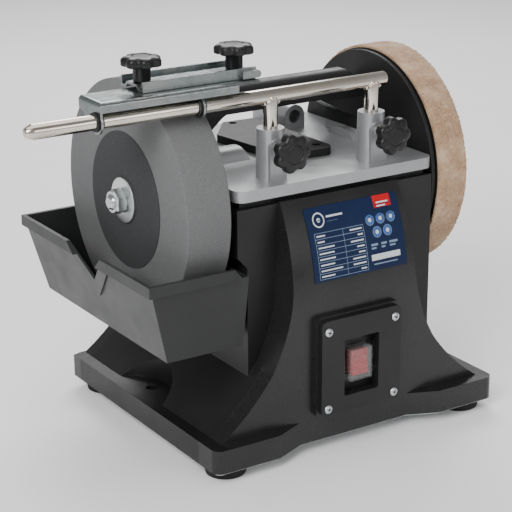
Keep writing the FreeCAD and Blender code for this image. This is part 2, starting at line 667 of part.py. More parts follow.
def drum_shield():
    """Fixed disc over the honing wheel's open side, standing on the housing's right wall."""
    axis = ("0", "axle_z")
    disc = rod("shield_disc", "X", "shield_r", ("shield_in", "shield_out"), *axis)
    stand = block("shield_stand", ("core_x", "shield_in + 1"), both("60"),
                  ("120", "axle_z - boss_core_r - 1"))
    node("drum_shield", cut("shield_cut", fuse("shield", disc, stand),
                            rod("shield_eye", "X", "12", ("core_x - 1", "shield_out + 1"), *axis),
                            rod("shield_slot", "X", "12", ("core_x - 1", "shield_out + 1"),
                                "0", motor_z())))


def motor():
    """Induction motor on a swinging cradle; its roller drives the drum's inner track."""
    axis = ("0", motor_z())
    node("stator_core", ring("stator", "X", "stator_r", "rotor_r + air_gap", both("motor_half"),
                             *axis))
    coils = []
    shields = []
    bearings = []
    for side in (-1, 1):
        def span(near, far):
            ends = (f"{side} * ({near})", f"{side} * ({far})")
            return ends if side > 0 else ends[::-1]
        tag = "left" if side < 0 else "right"
        coils.append(ring("coil_" + tag, "X", "stator_r - 6", "rotor_r + 3",
                          span("motor_half", "motor_half + 11"), *axis))
        shell = ring("shield_shell_" + tag, "X", "stator_r", "stator_r - 3",
                     span("motor_half", "motor_half + shell_len"), *axis)
        face = ring("shield_face_" + tag, "X", "stator_r - 1", "bush_r",
                    span("motor_half + shell_len - 3", "motor_half + shell_len"), *axis)
        shields.append(fuse("shield_" + tag, shell, face))
        bearings.append(ring("motor_bearing_" + tag, "X", "bush_r", "rotor_shaft_r + run_gap",
                             span("motor_half + shell_len - 6", "motor_half + shell_len"), *axis))
    node("stator_windings", group("coils", *coils))
    node("motor_end_shields", group("shields", *shields))
    node("motor_bearings", group("bearings", *bearings))
    cradle = body("cradle_body")
    arm = [("5", "190"), ("5", "172"), ("40", "150"), ("hinge_y + 8", "hinge_z - 9"),
           ("hinge_y + 8", "hinge_z + 9"), ("45", "188")]
    pad(cradle, "X", ("-30", "-24"), arm)
    pad(cradle, "X", ("24", "30"), arm)
    pad(cradle, "X", both("24.5"), (), [("hinge_y", "hinge_z", "hinge_r + 3")])
    node("motor_cradle", cut("cradle_cut", cradle,
                             rod("cradle_seat", "X", "stator_r", ("-40", "40"), *axis),
                             rod("cradle_eye", "X", "hinge_r + run_gap", ("-40", "40"),
                                 "hinge_y", "hinge_z")))
    cheeks = [block("hanger_left", ("-40", "-36"), ("hinge_y - 9", "hinge_y + 9"),
                    ("hinge_z - 9", "plate_low")),
              block("hanger_right", ("36", "40"), ("hinge_y - 9", "hinge_y + 9"),
                    ("hinge_z - 9", "plate_low")),
              block("hanger_bridge", ("-40", "40"), ("hinge_y - 9", "hinge_y + 9"),
                    ("plate_low - 3", "plate_low"))]
    node("motor_hanger", cut("hanger_cut", fuse("hanger", *cheeks),
                             rod("hanger_eyes", "X", "hinge_r", ("-41", "41"),
                                 "hinge_y", "hinge_z")))
    node("motor_hinge_pin", rod("hinge_pin", "X", "hinge_r", ("-42", "42"), "hinge_y", "hinge_z"))
    node("motor_shaft", rod("rotor_spindle", "X", "rotor_shaft_r", ("-70", "roller_out"), *axis))
    node("rotor_core", ring("rotor", "X", "rotor_r", "rotor_shaft_r", both("motor_half"), *axis))
    blades = [ring("fan_disc", "X", "42", "rotor_shaft_r", ("-60", "-58"), *axis)]
    blade = block("fan_blade", ("-68", "-59"), ("-1", "1"),
                  (f"{motor_z()} + 12", f"{motor_z()} + 40"))
    blades += spun(blade, 8, motor_z())
    node("cooling_fan", fuse("fan", *blades))
    node("drive_roller", ring("roller", "X", "roller_r", "rotor_shaft_r",
                              ("roller_in", "roller_out"), *axis))
    node("run_capacitor", rod("capacitor", "X", "17", ("-30", "30"), "-55", "base_low + 17"))


def star_knob(name, axis, head, neck, a, b):
    """Seven-lobed hand knob with a round neck."""
    parts = [rod(name + "_head", axis, "knob_r", head, a, b),
             rod(name + "_neck", axis, "stem_r + 0.8", neck, a, b)]
    scoops = []
    for index in range(7):
        turn = math.radians(360 / 7 * (index + 0.5))
        reach = f"(knob_r + lobe_r * 0.55) * {math.cos(turn):.5f}"
        rise = f"(knob_r + lobe_r * 0.55) * {math.sin(turn):.5f}"
        scoops.append(rod(f"{name}_scoop_{index}", axis, "lobe_r",
                          (f"{head[0]} - 1", f"{head[1]} + 1"), f"{a} + {reach}", f"{b} + {rise}"))
    return cut(name + "_star", fuse(name + "_blank", *parts), *scoops)


def tool_support():
    """Support bar with its two legs, and the two knobs that lock the legs in their collars."""
    legs = [rod("leg_left", "Z", "bar_r", ("leg_low", "bar_z"), "-collar_x", "-collar_y"),
            rod("leg_right", "Z", "bar_r", ("leg_low", "bar_z"), "collar_x", "-collar_y")]
    rail = rod("rail_bar", "X", "bar_r", ("6 - bar_left", "bar_right - 1"), "-collar_y", "bar_z")
    tips = [cone("bar_tip_left", "X", ("bar_r - 2", "bar_r"), ("-bar_left", "6 - bar_left"),
                 "-collar_y", "bar_z"),
            cone("bar_tip_right", "X", ("bar_r", "bar_r - 1"), ("bar_right - 1", "bar_right"),
                 "-collar_y", "bar_z")]
    node("support_bar", fuse("support_bar_fuse", rail, *legs, *tips))
    for side, middle in (("left", "-collar_x"), ("right", "collar_x")):
        stud_end = "-collar_y - bar_r - 0.4"
        node("lock_stud_" + side, rod("lock_stud_rod_" + side, "Y", "lock_r",
                                      ("-knob_back", stud_end), middle, "lock_z"))
        node("lock_knob_" + side, star_knob("lock_" + side, "Y",
                                            ("-knob_front", "-knob_front + 10"),
                                            ("-knob_front + 9", "-knob_back"), middle, "lock_z"))


def sharpening_jig():
    """Straight-edge jig: channel base that hangs on the bar, clamp plate, studs and knobs."""
    bar = ("-collar_y", "bar_z")
    ear_low = ("bar_z", "jig_high")
    end = body("jig_end_flange")
    pad(end, "X", ("-jig_left", "jig_sheet - jig_left"), [
        ("-jig_front", "bar_z"), ("ear_r - collar_y", "bar_z"), ("-jig_back", "jig_high - 9"),
        ("-jig_back", "jig_high"), ("-jig_front", "jig_high")])
    parts = [
        end,
        block("jig_top", ("-jig_left", "-jig_far"), ("-jig_front", "-jig_back"),
              ("jig_high - jig_sheet", "jig_high")),
        block("jig_front_flange", ("-jig_left", "-jig_right"),
              ("-jig_front", "jig_sheet - jig_front"), ("jig_flange", "jig_high")),
        rod("jig_ear_left", "X", "ear_r", ("-jig_left", "jig_sheet - jig_left"), *bar),
        block("jig_ear_web", ("-ear_right", "jig_sheet - ear_right"),
              ("-jig_front + 2", "2 - collar_y + 4"), ear_low),
        rod("jig_ear_right", "X", "ear_r", ("-ear_right", "jig_sheet - ear_right"), *bar),
    ]
    shape = fuse("jig_base_fuse", *parts)
    bends = []
    for axis, near, across in (("Y", "-jig_left", ("-jig_front - 5", "1 - jig_back")),
                               ("X", "-jig_front", ("-jig_left - 1", "1 - jig_far"))):
        prism = body("jig_bend_" + axis)
        pad(prism, axis, across, [
            (f"{near} - 3", "jig_high - jig_bend"), (near, "jig_high - jig_bend"),
            (f"{near} + jig_bend", "jig_high", f"{near} + 0.293 * jig_bend",
             "jig_high - 0.293 * jig_bend"),
            (f"{near} + jig_bend", "jig_high + 1"), (f"{near} - 3", "jig_high + 1")])
        bends.append(prism)
    holes = [rod("jig_ear_bore", "X", "ear_hole_r", ("-jig_left - 1", "3 - ear_right"), *bar)]
    studs = []
    for side in ("left", "right"):
        at = (f"-jig_knob_{side}", "-jig_knob_y")
        studs.append(rod("jig_stud_" + side, "Z", "stud_r",
                         ("jig_high - jig_sheet", "jig_knob_low - 1"), *at))
        holes.append(rod("jig_stud_hole_" + side, "Z", "stud_r", ("jig_flange", "jig_high + 1"),
                         *at))
    node("jig_base", cut("jig_base_cut", shape, *bends, *holes))
    node("jig_studs", group("jig_stud_pair", *studs))
    bushes = [ring("bar_bush_left", "X", "ear_hole_r - 0.1", "bar_r + run_gap",
                   ("-jig_left - 2", "4 - jig_left"), *bar),
              ring("bar_bush_right", "X", "ear_hole_r - 0.1", "bar_r + run_gap",
                   ("-ear_right - 2", "4 - ear_right"), *bar)]
    node("bar_bushes", group("bar_bush_pair", *bushes))
    low = "jig_high + 0.3"
    front, back = "-clamp_front", "-clamp_back"
    under = [(front, low), ("-jig_knob_y - 10", low), ("-jig_knob_y - 7", f"{low} + ridge"),
             ("-jig_knob_y + 7", f"{low} + ridge"), ("-jig_knob_y + 10", low), (back, low)]
    over = [(back, "clamp_high"), (f"{back} - jig_sheet", "clamp_high"),
            (f"{back} - jig_sheet", f"{low} + jig_sheet"),
            ("-jig_knob_y + 11", f"{low} + jig_sheet"),
            ("-jig_knob_y + 8", f"{low} + ridge + jig_sheet"),
            ("-jig_knob_y - 8", f"{low} + ridge + jig_sheet"),
            ("-jig_knob_y - 11", f"{low} + jig_sheet"),
            ("jig_sheet - clamp_front", f"{low} + jig_sheet"),
            ("jig_sheet - clamp_front", "clamp_high"), (front, "clamp_high")]
    channel = body("clamp_channel")
    pad(channel, "X", ("-clamp_left", "-clamp_right"), under + over)
    eyes = [rod("clamp_eye_" + side, "Z", "stud_r + 0.4", ("jig_high", "clamp_high"),
                f"-jig_knob_{side}", "-jig_knob_y") for side in ("left", "right")]
    tab_y = ("-clamp_front - 4.5", "0.5 - clamp_front")
    tab = block("clamp_tab", ("-clamp_right - 15", "-clamp_right - 1"), tab_y,
                (f"{low} + 0.5", f"{low} + 6.5"))
    tip = rod("clamp_tab_tip", "Y", "3", tab_y, "-clamp_right - 1", f"{low} + 3.5")
    node("jig_clamp", cut("jig_clamp_cut", fuse("jig_clamp_fuse", channel, tab, tip), *eyes))
    for side in ("left", "right"):
        at = (f"-jig_knob_{side}", "-jig_knob_y")
        star = star_knob("jig_" + side, "Z", ("jig_knob_low", "jig_knob_low + knob_thick"),
                         (f"{low} + ridge + jig_sheet + 0.3", "jig_knob_low + 1"), *at)
        bore = rod("jig_knob_bore_" + side, "Z", "stud_r + 0.4", ("jig_high", "jig_knob_low"), *at)
        node("jig_knob_" + side, cut("jig_knob_cut_" + side, star, bore))


def taper_box(name, low, high, grow):
    """Tapered box about Y = 0; grow moves every side wall outward by that much."""
    wedge = doc.addObject("Part::Wedge", name)
    wedge.Placement.Rotation = FreeCAD.Rotation(Vector(1, 0, 0), 90)
    for prop, text in (("Xmin", f"-trough_low_out + lip - ({grow})"),
                       ("Xmax", f"-trough_low_in + ({grow})"),
                       ("X2min", f"-trough_out + lip - ({grow})"),
                       ("X2max", f"-trough_in + ({grow})"),
                       ("Zmin", f"-trough_low_y - ({grow})"), ("Zmax", f"trough_low_y + ({grow})"),
                       ("Z2min", f"lip - trough_y - ({grow})"),
                       ("Z2max", f"trough_y - lip + ({grow})"), ("Ymin", low), ("Ymax", high)):
        bind(wedge, prop, text)
    return wedge


def water_trough():
    """Tapered trough with a rolled lip, a vee for the shaft's nut and guides on its inner wall."""
    outer = taper_box("trough_outer", "trough_low", "trough_high", "0")
    inner = taper_box("trough_inner", "trough_low + trough_wall", "trough_high + 0.05",
                      "-trough_wall")
    rim = block("trough_rim", ("-trough_out", "-trough_in - 14"), both("trough_y"),
                ("trough_high - lip_tall", "trough_high"))
    vee = body("trough_vee")
    pad(vee, "X", ("-trough_out - 1", "-trough_out + 14"), [
        ("vee_back", "trough_high + 1"), ("-vee_mid", "vee_low"), ("-vee_front", "trough_high + 1")])
    step = body("trough_step")
    pad(step, "Y", both("trough_y + 1"), [
        ("-trough_in - 14", "trough_high + 1"), ("-trough_in - 14", "trough_high - 0.5"),
        ("-trough_in - 6.5", "trough_high - 8.5"), ("-trough_in + 1", "trough_high - 8.5"),
        ("-trough_in + 1", "trough_high + 1")])
    fins = []
    for rail in ("-guide_y", "guide_y"):
        for side in ("-1", "1"):
            near = f"{rail} + {side} * (guide_half + guide_gap)"
            far = f"{rail} + {side} * (guide_half + guide_gap + 2.5)"
            ends = (near, far) if side == "1" else (far, near)
            name = "fin" + rail.replace("-", "m").replace("guide_y", "g") + side.replace("-", "m")
            fins.append(block(name, ("-trough_low_in - 0.5", "-recess_x - 1.5"), ends,
                              ("trough_low + 4", "guide_high - 2")))
    hull = cut("trough_hull", fuse("trough_with_rim", outer, rim), inner, vee, step)
    node("water_trough", fuse("trough_with_fins", hull, *fins))


def control_panel():
    """Switch plate, its screws, the rocker switch with its clear cover, and the blank data plate."""
    plate = body("switch_plate_body")
    window = body("plate_window")
    pad(window, "Y", ("-switch_front - 1", "1 - pad_front"),
        corners("window_x", "(window_high - window_low) / 2", "2", "rocker_axis_z"))
    outline = corners("switch_x", "(switch_high - switch_low) / 2", "5",
                      "(switch_high + switch_low) / 2")
    spots = [(side, height) for side in ("-33.5", "33.5") for height in ("40", "107.5")]
    pad(plate, "Y", ("-switch_front", "-pad_front"), outline,
        [(across, height, "2.1") for across, height in spots])
    node("switch_plate", cut("switch_plate_cut", plate, window))
    screws = []
    for index, (across, height) in enumerate(spots):
        head = rod(f"plate_head_{index}", "Y", "3.7", ("-switch_front - 2", "-switch_front"),
                   across, height)
        shank = rod(f"plate_shank_{index}", "Y", "2", ("-switch_front", "-pad_front"),
                    across, height)
        screws.append(fuse(f"plate_screw_{index}", head, shank))
    node("switch_plate_screws", group("plate_screw_set", *screws))
    pivot = ("-rocker_axis_y", "rocker_axis_z")
    case = block("switch_case", both("window_x + 0.3"), ("-frame_front", "-107.5"),
                 ("window_low - 0.3", "window_high + 0.3"))
    cavity = block("switch_cavity", both("rocker_x + 0.8"), ("-frame_front - 1", "-111"),
                   ("rocker_axis_z - 12.4", "rocker_axis_z + 12.4"))
    pivots = rod("switch_pivot_holes", "X", "1.55", both("rocker_x + 3"), *pivot)
    node("switch_frame", cut("switch_frame_cut", case, cavity, pivots))
    key = body("rocker_body")
    pad(key, "X", both("rocker_x"), [
        ("-rocker_axis_y - 11.9", "rocker_axis_z - 9.8"),
        ("-rocker_axis_y - 9.8", "rocker_axis_z + 0.8"),
        ("-rocker_axis_y - 10", "rocker_axis_z + 11.7"),
        ("-rocker_axis_y + 3", "rocker_axis_z + 9"), ("-rocker_axis_y + 5.5", "rocker_axis_z"),
        ("-rocker_axis_y + 3", "rocker_axis_z - 9")])
    node("switch_rocker", fuse("rocker_fuse", key,
                               rod("rocker_pivots", "X", "1.5", both("rocker_x + 2.6"), *pivot)))
    dome = block("cover_outer", both("cover_x"), ("-cover_front", "-frame_front"),
                 ("rocker_axis_z - cover_half", "rocker_axis_z + cover_half"))
    room = block("cover_room", both("cover_x - 1"), ("1 - cover_front", "1 - frame_front"),
                 ("rocker_axis_z - cover_half + 1", "rocker_axis_z + cover_half - 1"))
    node("switch_cover", cut("switch_cover_cut", dome, room))
    bend = ("-panel_front + " + panel_r("front"), "panel_high")
    foil = ring("data_plate_ring", "X", panel_r("front") + " + 0.02 + tag_thick",
                panel_r("front") + " + 0.02", ("-tag_left", "tag_right"), *bend)
    reach = f"tag_tall / {panel_r('front')} * 1 rad"
    swing = f"(asin((tag_z - panel_high) / {panel_r('front')}) + {reach})"
    patch = block("data_plate_patch", ("-tag_left", "tag_right"), ("-base_front", "-80"),
                  ("tag_z", f"panel_high + {panel_r('front')} * sin({swing})"))
    node("data_plate", common("data_plate_foil", foil, patch))


def check_and_write():
    """Stop on anything that failed to build, then write every node."""
    doc.recompute()
    for item in doc.Objects:
        if "Invalid" in item.State or "Error" in item.State:
            raise RuntimeError(f"{item.Name} did not build: {item.State}")
    os.makedirs("parts", exist_ok=True)
    for item in NODES:
        shape = item.Shape
        if shape.isNull() or not shape.isValid() or not shape.Solids:
            raise RuntimeError(f"{item.Label} has no valid solid")
        shape.exportStep(f"parts/{item.Label}.step")
        print(f"{item.Label:24s} {len(shape.Solids):2d} solids {shape.Volume / 1000:9.1f} cm3")
    box = FreeCAD.BoundBox()
    for item in NODES:
        box.add(item.Shape.BoundBox)
    print("box", [round(side, 2) for side in (box.XMin, box.XMax, box.YMin, box.YMax,
                                              box.ZMin, box.ZMax)])


housing()
end_shells()
underside()
top_plate()
centre_cover()
carry_handle()
wheels()
drum_shield()
motor()
tool_support()
sharpening_jig()
water_trough()
control_panel()
check_and_write()
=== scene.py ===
import json
import math

import bmesh
import bpy
from mathutils import Matrix, Vector, noise


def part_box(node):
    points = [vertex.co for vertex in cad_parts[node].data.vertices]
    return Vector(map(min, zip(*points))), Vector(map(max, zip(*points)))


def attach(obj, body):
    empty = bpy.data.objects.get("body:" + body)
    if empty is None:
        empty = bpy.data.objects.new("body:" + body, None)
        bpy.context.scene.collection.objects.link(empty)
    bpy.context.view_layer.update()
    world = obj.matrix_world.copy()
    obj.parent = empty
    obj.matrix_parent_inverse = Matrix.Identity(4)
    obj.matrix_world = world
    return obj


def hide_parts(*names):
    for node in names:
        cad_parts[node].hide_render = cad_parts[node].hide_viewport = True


MM = 0.001
TURN = 2 * math.pi
AXES = {"X": (0, 1, 2), "Y": (1, 2, 0), "Z": (2, 0, 1)}  # the axis, then the two across it
SAME_SPOT = 1e-6
CREASE_DEG = 32
BAR_R = 6 * MM
SHAFT_R = 6 * MM
KNOB_R = 16.2 * MM
KNOB_NECK_R = 7 * MM
KNOB_LOBES = 7

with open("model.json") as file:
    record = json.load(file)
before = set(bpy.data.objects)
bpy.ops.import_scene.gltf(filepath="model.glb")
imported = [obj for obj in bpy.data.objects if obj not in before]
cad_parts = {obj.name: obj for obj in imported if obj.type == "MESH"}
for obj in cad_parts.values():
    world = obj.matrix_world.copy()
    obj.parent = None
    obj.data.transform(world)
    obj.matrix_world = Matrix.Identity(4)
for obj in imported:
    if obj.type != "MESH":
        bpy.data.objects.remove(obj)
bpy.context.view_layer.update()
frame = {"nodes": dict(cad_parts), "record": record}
RECORD = frame["record"]
BODY_OF = {n: b for b, group in RECORD["behaviour"]["bodies"].items() for n in group}
SLOT_OF = {row["node"]: row["material_slot"] for row in RECORD["subparts"]}


# ---------------------------------------------------------------- materials

class Shader:
    """A node-based material, mapped in the piece's own space so that it rides with its body."""

    def __init__(self, name, **sockets):
        self.material = bpy.data.materials.new(name)
        self.material.use_nodes = True
        self.tree = self.material.node_tree
        self.surface = self.tree.nodes["Principled BSDF"]
        for socket, value in sockets.items():
            self.surface.inputs[socket.replace("_", " ")].default_value = value
        self.place = self.add("ShaderNodeTexCoord").outputs["Object"]

    def add(self, kind, inputs=None, **settings):
        node = self.tree.nodes.new(kind)
        for key, value in settings.items():
            setattr(node, key, value)
        for key, value in (inputs or {}).items():
            if isinstance(value, bpy.types.NodeSocket):
                self.tree.links.new(value, node.inputs[key])
            else:
                node.inputs[key].default_value = value
        return node

    def stretched(self, scale):
        return self.add("ShaderNodeMapping", {"Vector": self.place, "Scale": scale}).outputs[0]

    def noise(self, scale, detail=3.0, rough=0.5, at=None):
        return self.add("ShaderNodeTexNoise", {
            "Vector": at or self.place, "Scale": scale, "Detail": detail,
            "Roughness": rough}).outputs["Fac"]

    def cells(self, scale, output="Distance"):
        return self.add("ShaderNodeTexVoronoi", {
            "Vector": self.place, "Scale": scale}).outputs[output]

    def ramp(self, fac, *stops):
        ramp = self.add("ShaderNodeValToRGB", {"Fac": fac})
        points = ramp.color_ramp.elements
        while len(points) < len(stops):
            points.new(0.5)
        for point, (where, colour) in zip(points, stops):
            point.position = where
            point.color = (*colour, 1)
        return ramp.outputs["Color"]

    def math(self, operation, a, b=0.0):
        return self.add("ShaderNodeMath", {0: a, 1: b}, operation=operation).outputs[0]

    def span(self, fac, low, high, to_low=0.0, to_high=1.0):
        return self.add("ShaderNodeMapRange", {
            "Value": fac, "From Min": low, "From Max": high,
            "To Min": to_low, "To Max": to_high}).outputs["Result"]

    def blend(self, fac, a, b):
        mix = self.add("ShaderNodeMix", data_type="RGBA")
        for index, value in ((0, fac), (6, a), (7, b)):
            if isinstance(value, bpy.types.NodeSocket):
                self.tree.links.new(value, mix.inputs[index])
            else:
                mix.inputs[index].default_value = value if index == 0 else (*value, 1)
        return mix.outputs[2]

    def bump(self, height, depth_mm, strength=1.0, under=None):
        inputs = {"Height": height, "Distance": depth_mm * MM, "Strength": strength}
        if under:
            inputs["Normal"] = under
        return self.add("ShaderNodeBump", inputs).outputs["Normal"]

    def wire(self, **links):
        for socket, source in links.items():
            self.tree.links.new(source, self.surface.inputs[socket.replace("_", " ")])
        return self.material

    def edges(self):
        """1 on the rounded edges that soften() marks, broken up by noise."""
        worn = self.add("ShaderNodeAttribute", attribute_name="edge").outputs["Fac"]
        return self.math("MULTIPLY", worn, self.span(self.noise(90, 5, 0.7), 0.42, 0.62))


def moulded(name, colour, roughness=0.4, grain=1400, depth=0.03, worn=(0.07, 0.07, 0.072),
            shine=0.35):
    """Moulded plastic: fine spark-eroded grain, faint cloudiness and rubbed edges."""
    s = Shader(name, IOR=1.46, Specular_IOR_Level=shine)
    cloud = s.noise(14, 3)
    lighter = tuple(c * 1.3 + 0.002 for c in colour)
    base = s.blend(s.span(cloud, 0.3, 0.7), colour, lighter)
    base = s.blend(s.math("MULTIPLY", s.edges(), 0.55), base, worn)
    dust = s.span(s.noise(260, 6, 0.75), 0.55, 0.8, 0, 0.03)
    base = s.blend(dust, base, (0.3, 0.29, 0.28))
    rough = s.math("ADD", s.span(s.noise(40, 4), 0.3, 0.7, -0.05, 0.06), roughness)
    grain_bump = s.bump(s.noise(grain, 2, 0.6), depth)
    return s.wire(Base_Color=base, Roughness=rough, Normal=s.bump(cloud, 0.05, 0.3, grain_bump))


def plated(name, colour, roughness=0.25, along=(6, 260, 260), tint=(0.5, 0.55, 0.6), spangle=0,
           wave=0.0):
    """Plated or bare steel with drawn lines, faint staining and, on zinc, a spangle."""
    s = Shader(name, Metallic=1.0)
    streaks = s.noise(9, 5, 0.65, at=s.stretched(along))
    stain = s.noise(22, 4, 0.6)
    base = s.blend(s.span(stain, 0.42, 0.7), colour, tint)
    if spangle:
        flake = s.add("ShaderNodeSeparateColor", {0: s.cells(spangle, "Color")}).outputs[0]
        base = s.blend(s.math("MULTIPLY", flake, 0.22), base, (0.33, 0.36, 0.38))
    rough = s.math("ADD", s.span(streaks, 0.3, 0.7, -0.06, 0.08), roughness)
    rough = s.math("ADD", rough, s.span(stain, 0.3, 0.7, -0.03, 0.05))
    waves = s.bump(s.noise(38, 3, 0.6), wave) if wave else None
    return s.wire(Base_Color=base, Roughness=rough, Normal=s.bump(streaks, 0.008, 0.5, waves))


def cast_silver():
    """Silver paint on a casting: orange peel, metal flake and bright edges."""
    s = Shader("silver_coated_casting", Metallic=0.55)
    cloud = s.noise(11, 4, 0.6)
    flake = s.noise(2600, 2)
    base = s.blend(s.span(cloud, 0.3, 0.7), (0.29, 0.297, 0.305), (0.36, 0.366, 0.372))
    base = s.blend(s.span(flake, 0.45, 0.7, 0, 0.35), base, (0.52, 0.53, 0.54))
    base = s.blend(s.math("MULTIPLY", s.edges(), 0.5), base, (0.72, 0.72, 0.71))
    rough = s.math("ADD", s.span(s.noise(60, 4), 0.3, 0.7, -0.05, 0.07), 0.34)
    peel = s.bump(s.noise(380, 2), 0.05, 0.5)
    return s.wire(Base_Color=base, Roughness=rough,
                  Normal=s.bump(s.noise(2200, 2), 0.02, 0.5, peel))


def stone_shader():
    """Sintered grit: speckle, open pores, faint rust bands round the tread."""
    s = Shader("abrasive_grit", Roughness=0.92)
    grit = s.noise(1500, 3, 0.8)
    speck = s.cells(1600, "Color")
    tone = s.add("ShaderNodeSeparateColor", {0: speck}).outputs[0]
    base = s.ramp(grit, (0.3, (0.085, 0.087, 0.089)), (0.5, (0.125, 0.127, 0.129)),
                  (0.72, (0.18, 0.182, 0.184)))
    base = s.blend(s.span(tone, 0.86, 0.95, 0, 0.22), base, (0.24, 0.24, 0.235))
    base = s.blend(s.span(s.noise(26, 4, 0.6), 0.35, 0.7, 0, 0.3), base, (0.10, 0.102, 0.104))
    across = s.add("ShaderNodeSeparateXYZ", {0: s.place}).outputs["X"]
    wander = s.span(s.noise(9, 2), 0.2, 0.8, -0.006, 0.006)
    line = s.math("ADD", across, wander)
    bands = s.math("ABSOLUTE", s.math("SINE", s.math("MULTIPLY", line, 330)))
    rust = s.math("MULTIPLY", s.span(bands, 0.04, 0.0), s.span(s.noise(70, 5, 0.7), 0.42, 0.62))
    base = s.blend(s.math("MULTIPLY", rust, 0.5), base, (0.30, 0.16, 0.07))
    pores = s.bump(s.cells(1300), 0.12, 0.5)
    return s.wire(Base_Color=base, Normal=s.bump(grit, 0.1, 0.7, pores))


def suede():
    """Leather with its fibre side out: blotchy tan, pale nap, sheen."""
    s = Shader("suede", Roughness=0.95, Sheen_Weight=0.15, Sheen_Roughness=0.5)
    blotch = s.noise(45, 7, 0.78)
    nap = s.noise(520, 5, 0.75)
    base = s.ramp(blotch, (0.32, (0.22, 0.105, 0.045)), (0.5, (0.38, 0.225, 0.12)),
                  (0.66, (0.55, 0.40, 0.28)))
    base = s.blend(s.span(nap, 0.42, 0.66, 0, 0.55), base, (0.60, 0.46, 0.34))
    base = s.blend(s.span(s.noise(900, 4, 0.8), 0.52, 0.7, 0, 0.6), base, (0.17, 0.085, 0.035))
    rough_bump = s.bump(s.noise(190, 6, 0.75), 0.9, 0.8)
    return s.wire(Base_Color=base, Normal=s.bump(nap, 0.5, 0.9, rough_bump))


def flat_print(name, colour, gloss=0.35):
    """Printed ink or foil, a little faded in patches."""
    s = Shader(name, Specular_IOR_Level=0.25)
    fade = s.blend(s.span(s.noise(30, 4), 0.3, 0.7), colour, tuple(c * 0.86 for c in colour))
    return s.wire(Base_Color=fade, Roughness=s.span(s.noise(120, 3), 0.3, 0.7, gloss, gloss + 0.1))


def clear_plastic():
    """Thin clear cover with a faint haze."""
    s = Shader("clear_cover", Alpha=0.06, IOR=1.4, Specular_IOR_Level=0.3)
    haze = s.span(s.noise(50, 4), 0.3, 0.7, 0.04, 0.14)
    tint = s.blend(s.noise(20, 3), (0.85, 0.88, 0.9), (0.95, 0.96, 0.97))
    return s.wire(Base_Color=tint, Roughness=haze)


def red_rocker():
    """Red moulding of the switch, polished by use."""
    s = Shader("rocker_red", IOR=1.5, Specular_IOR_Level=0.3)
    base = s.blend(s.span(s.noise(60, 3), 0.3, 0.7), (0.22, 0.001, 0.002), (0.30, 0.003, 0.004))
    return s.wire(Base_Color=base, Roughness=s.span(s.noise(200, 3), 0.3, 0.7, 0.22, 0.34))


def card():
    """Dark blotting paper: short fibres and a dry surface."""
    s = Shader("blotting_paper", Roughness=0.95)
    fibre = s.noise(300, 6, 0.8, at=s.stretched((1, 1, 5)))
    base = s.blend(s.span(fibre, 0.35, 0.7), (0.024, 0.025, 0.026), (0.05, 0.051, 0.053))
    return s.wire(Base_Color=base, Normal=s.bump(fibre, 0.05, 0.6))


LOOKS = {
    "black_plastic": moulded("black_plastic", (0.008, 0.008, 0.0085), 0.38),
    "fascia_plastic": moulded("fascia_plastic", (0.010, 0.010, 0.0105), 0.27, 900, 0.012,
                              shine=0.45),
    "rubber": moulded("rubber", (0.008, 0.008, 0.008), 0.75, 600, 0.06, (0.03, 0.03, 0.03)),
    "drum_plastic": moulded("drum_plastic", (0.008, 0.008, 0.0085), 0.5),
    "knob_plastic": moulded("knob_plastic", (0.007, 0.007, 0.0075), 0.34, 1800, 0.015),
    "trough_plastic": moulded("trough_plastic", (0.017, 0.0175, 0.018), 0.36, 1100, 0.03,
                              (0.11, 0.11, 0.115)),
    "bush_plastic": moulded("bush_plastic", (0.55, 0.53, 0.47), 0.5),
    "capacitor_case": moulded("capacitor_case", (0.6, 0.6, 0.58), 0.4),
    "roller_rubber": moulded("roller_rubber", (0.02, 0.02, 0.02), 0.7, 500, 0.1),
    "plated_sheet": plated("plated_sheet", (0.58, 0.60, 0.60), 0.38, (30, 30, 200),
                           (0.48, 0.51, 0.53), 120),
    "zinc_fixings": plated("zinc_fixings", (0.66, 0.68, 0.68), 0.32, (90, 90, 90),
                           (0.56, 0.60, 0.62)),
    "tool_bar": plated("tool_bar", (0.74, 0.68, 0.61), 0.12, (4, 300, 300), (0.60, 0.53, 0.45)),
    "shaft_steel": plated("shaft_steel", (0.56, 0.56, 0.56), 0.22),
    "jig_steel": plated("jig_steel", (0.27, 0.28, 0.275), 0.27, (10, 260, 260),
                        (0.19, 0.23, 0.235), 240, 1.2),
    "laminations": plated("laminations", (0.35, 0.35, 0.37), 0.45, (900, 4, 4)),
    "motor_casting": plated("motor_casting", (0.62, 0.62, 0.63), 0.42, (60, 60, 60)),
    "copper": plated("copper", (0.66, 0.30, 0.15), 0.35, (4, 400, 400), (0.5, 0.2, 0.1)),
    "cast_silver": cast_silver(),
    "stone": stone_shader(),
    "paper": card(),
    "leather": suede(),
    "switch_red": red_rocker(),
    "clear_cover": clear_plastic(),
    "label_blue": flat_print("label_blue", (0.0008, 0.010, 0.046), 0.45),
}
# Dark plastic for the cross recesses of screw heads: painted shade, not the screws' own colour.
PAINTED_RECESS_SHADE = moulded("screw_recess_painted_shade", (0.02, 0.022, 0.024), 0.5)
PRINT_WHITE = flat_print("print_white", (0.62, 0.64, 0.67))
PRINT_RED = flat_print("print_red", (0.50, 0.004, 0.008))
PRINT_LINE = flat_print("print_line", (0.20, 0.27, 0.38))
PRINT_ICON = flat_print("print_icon", (0.045, 0.11, 0.33))


# ---------------------------------------------------------------- mesh helpers

def mesh_object(name, bm, looks):
    """An object in the scene made from a bmesh, with those materials."""
    mesh = bpy.data.meshes.new(name)
    bm.to_mesh(mesh)
    bm.free()
    for look in looks:
        mesh.materials.append(look)
    obj = bpy.data.objects.new(name, mesh)
    bpy.context.scene.collection.objects.link(obj)
    return obj


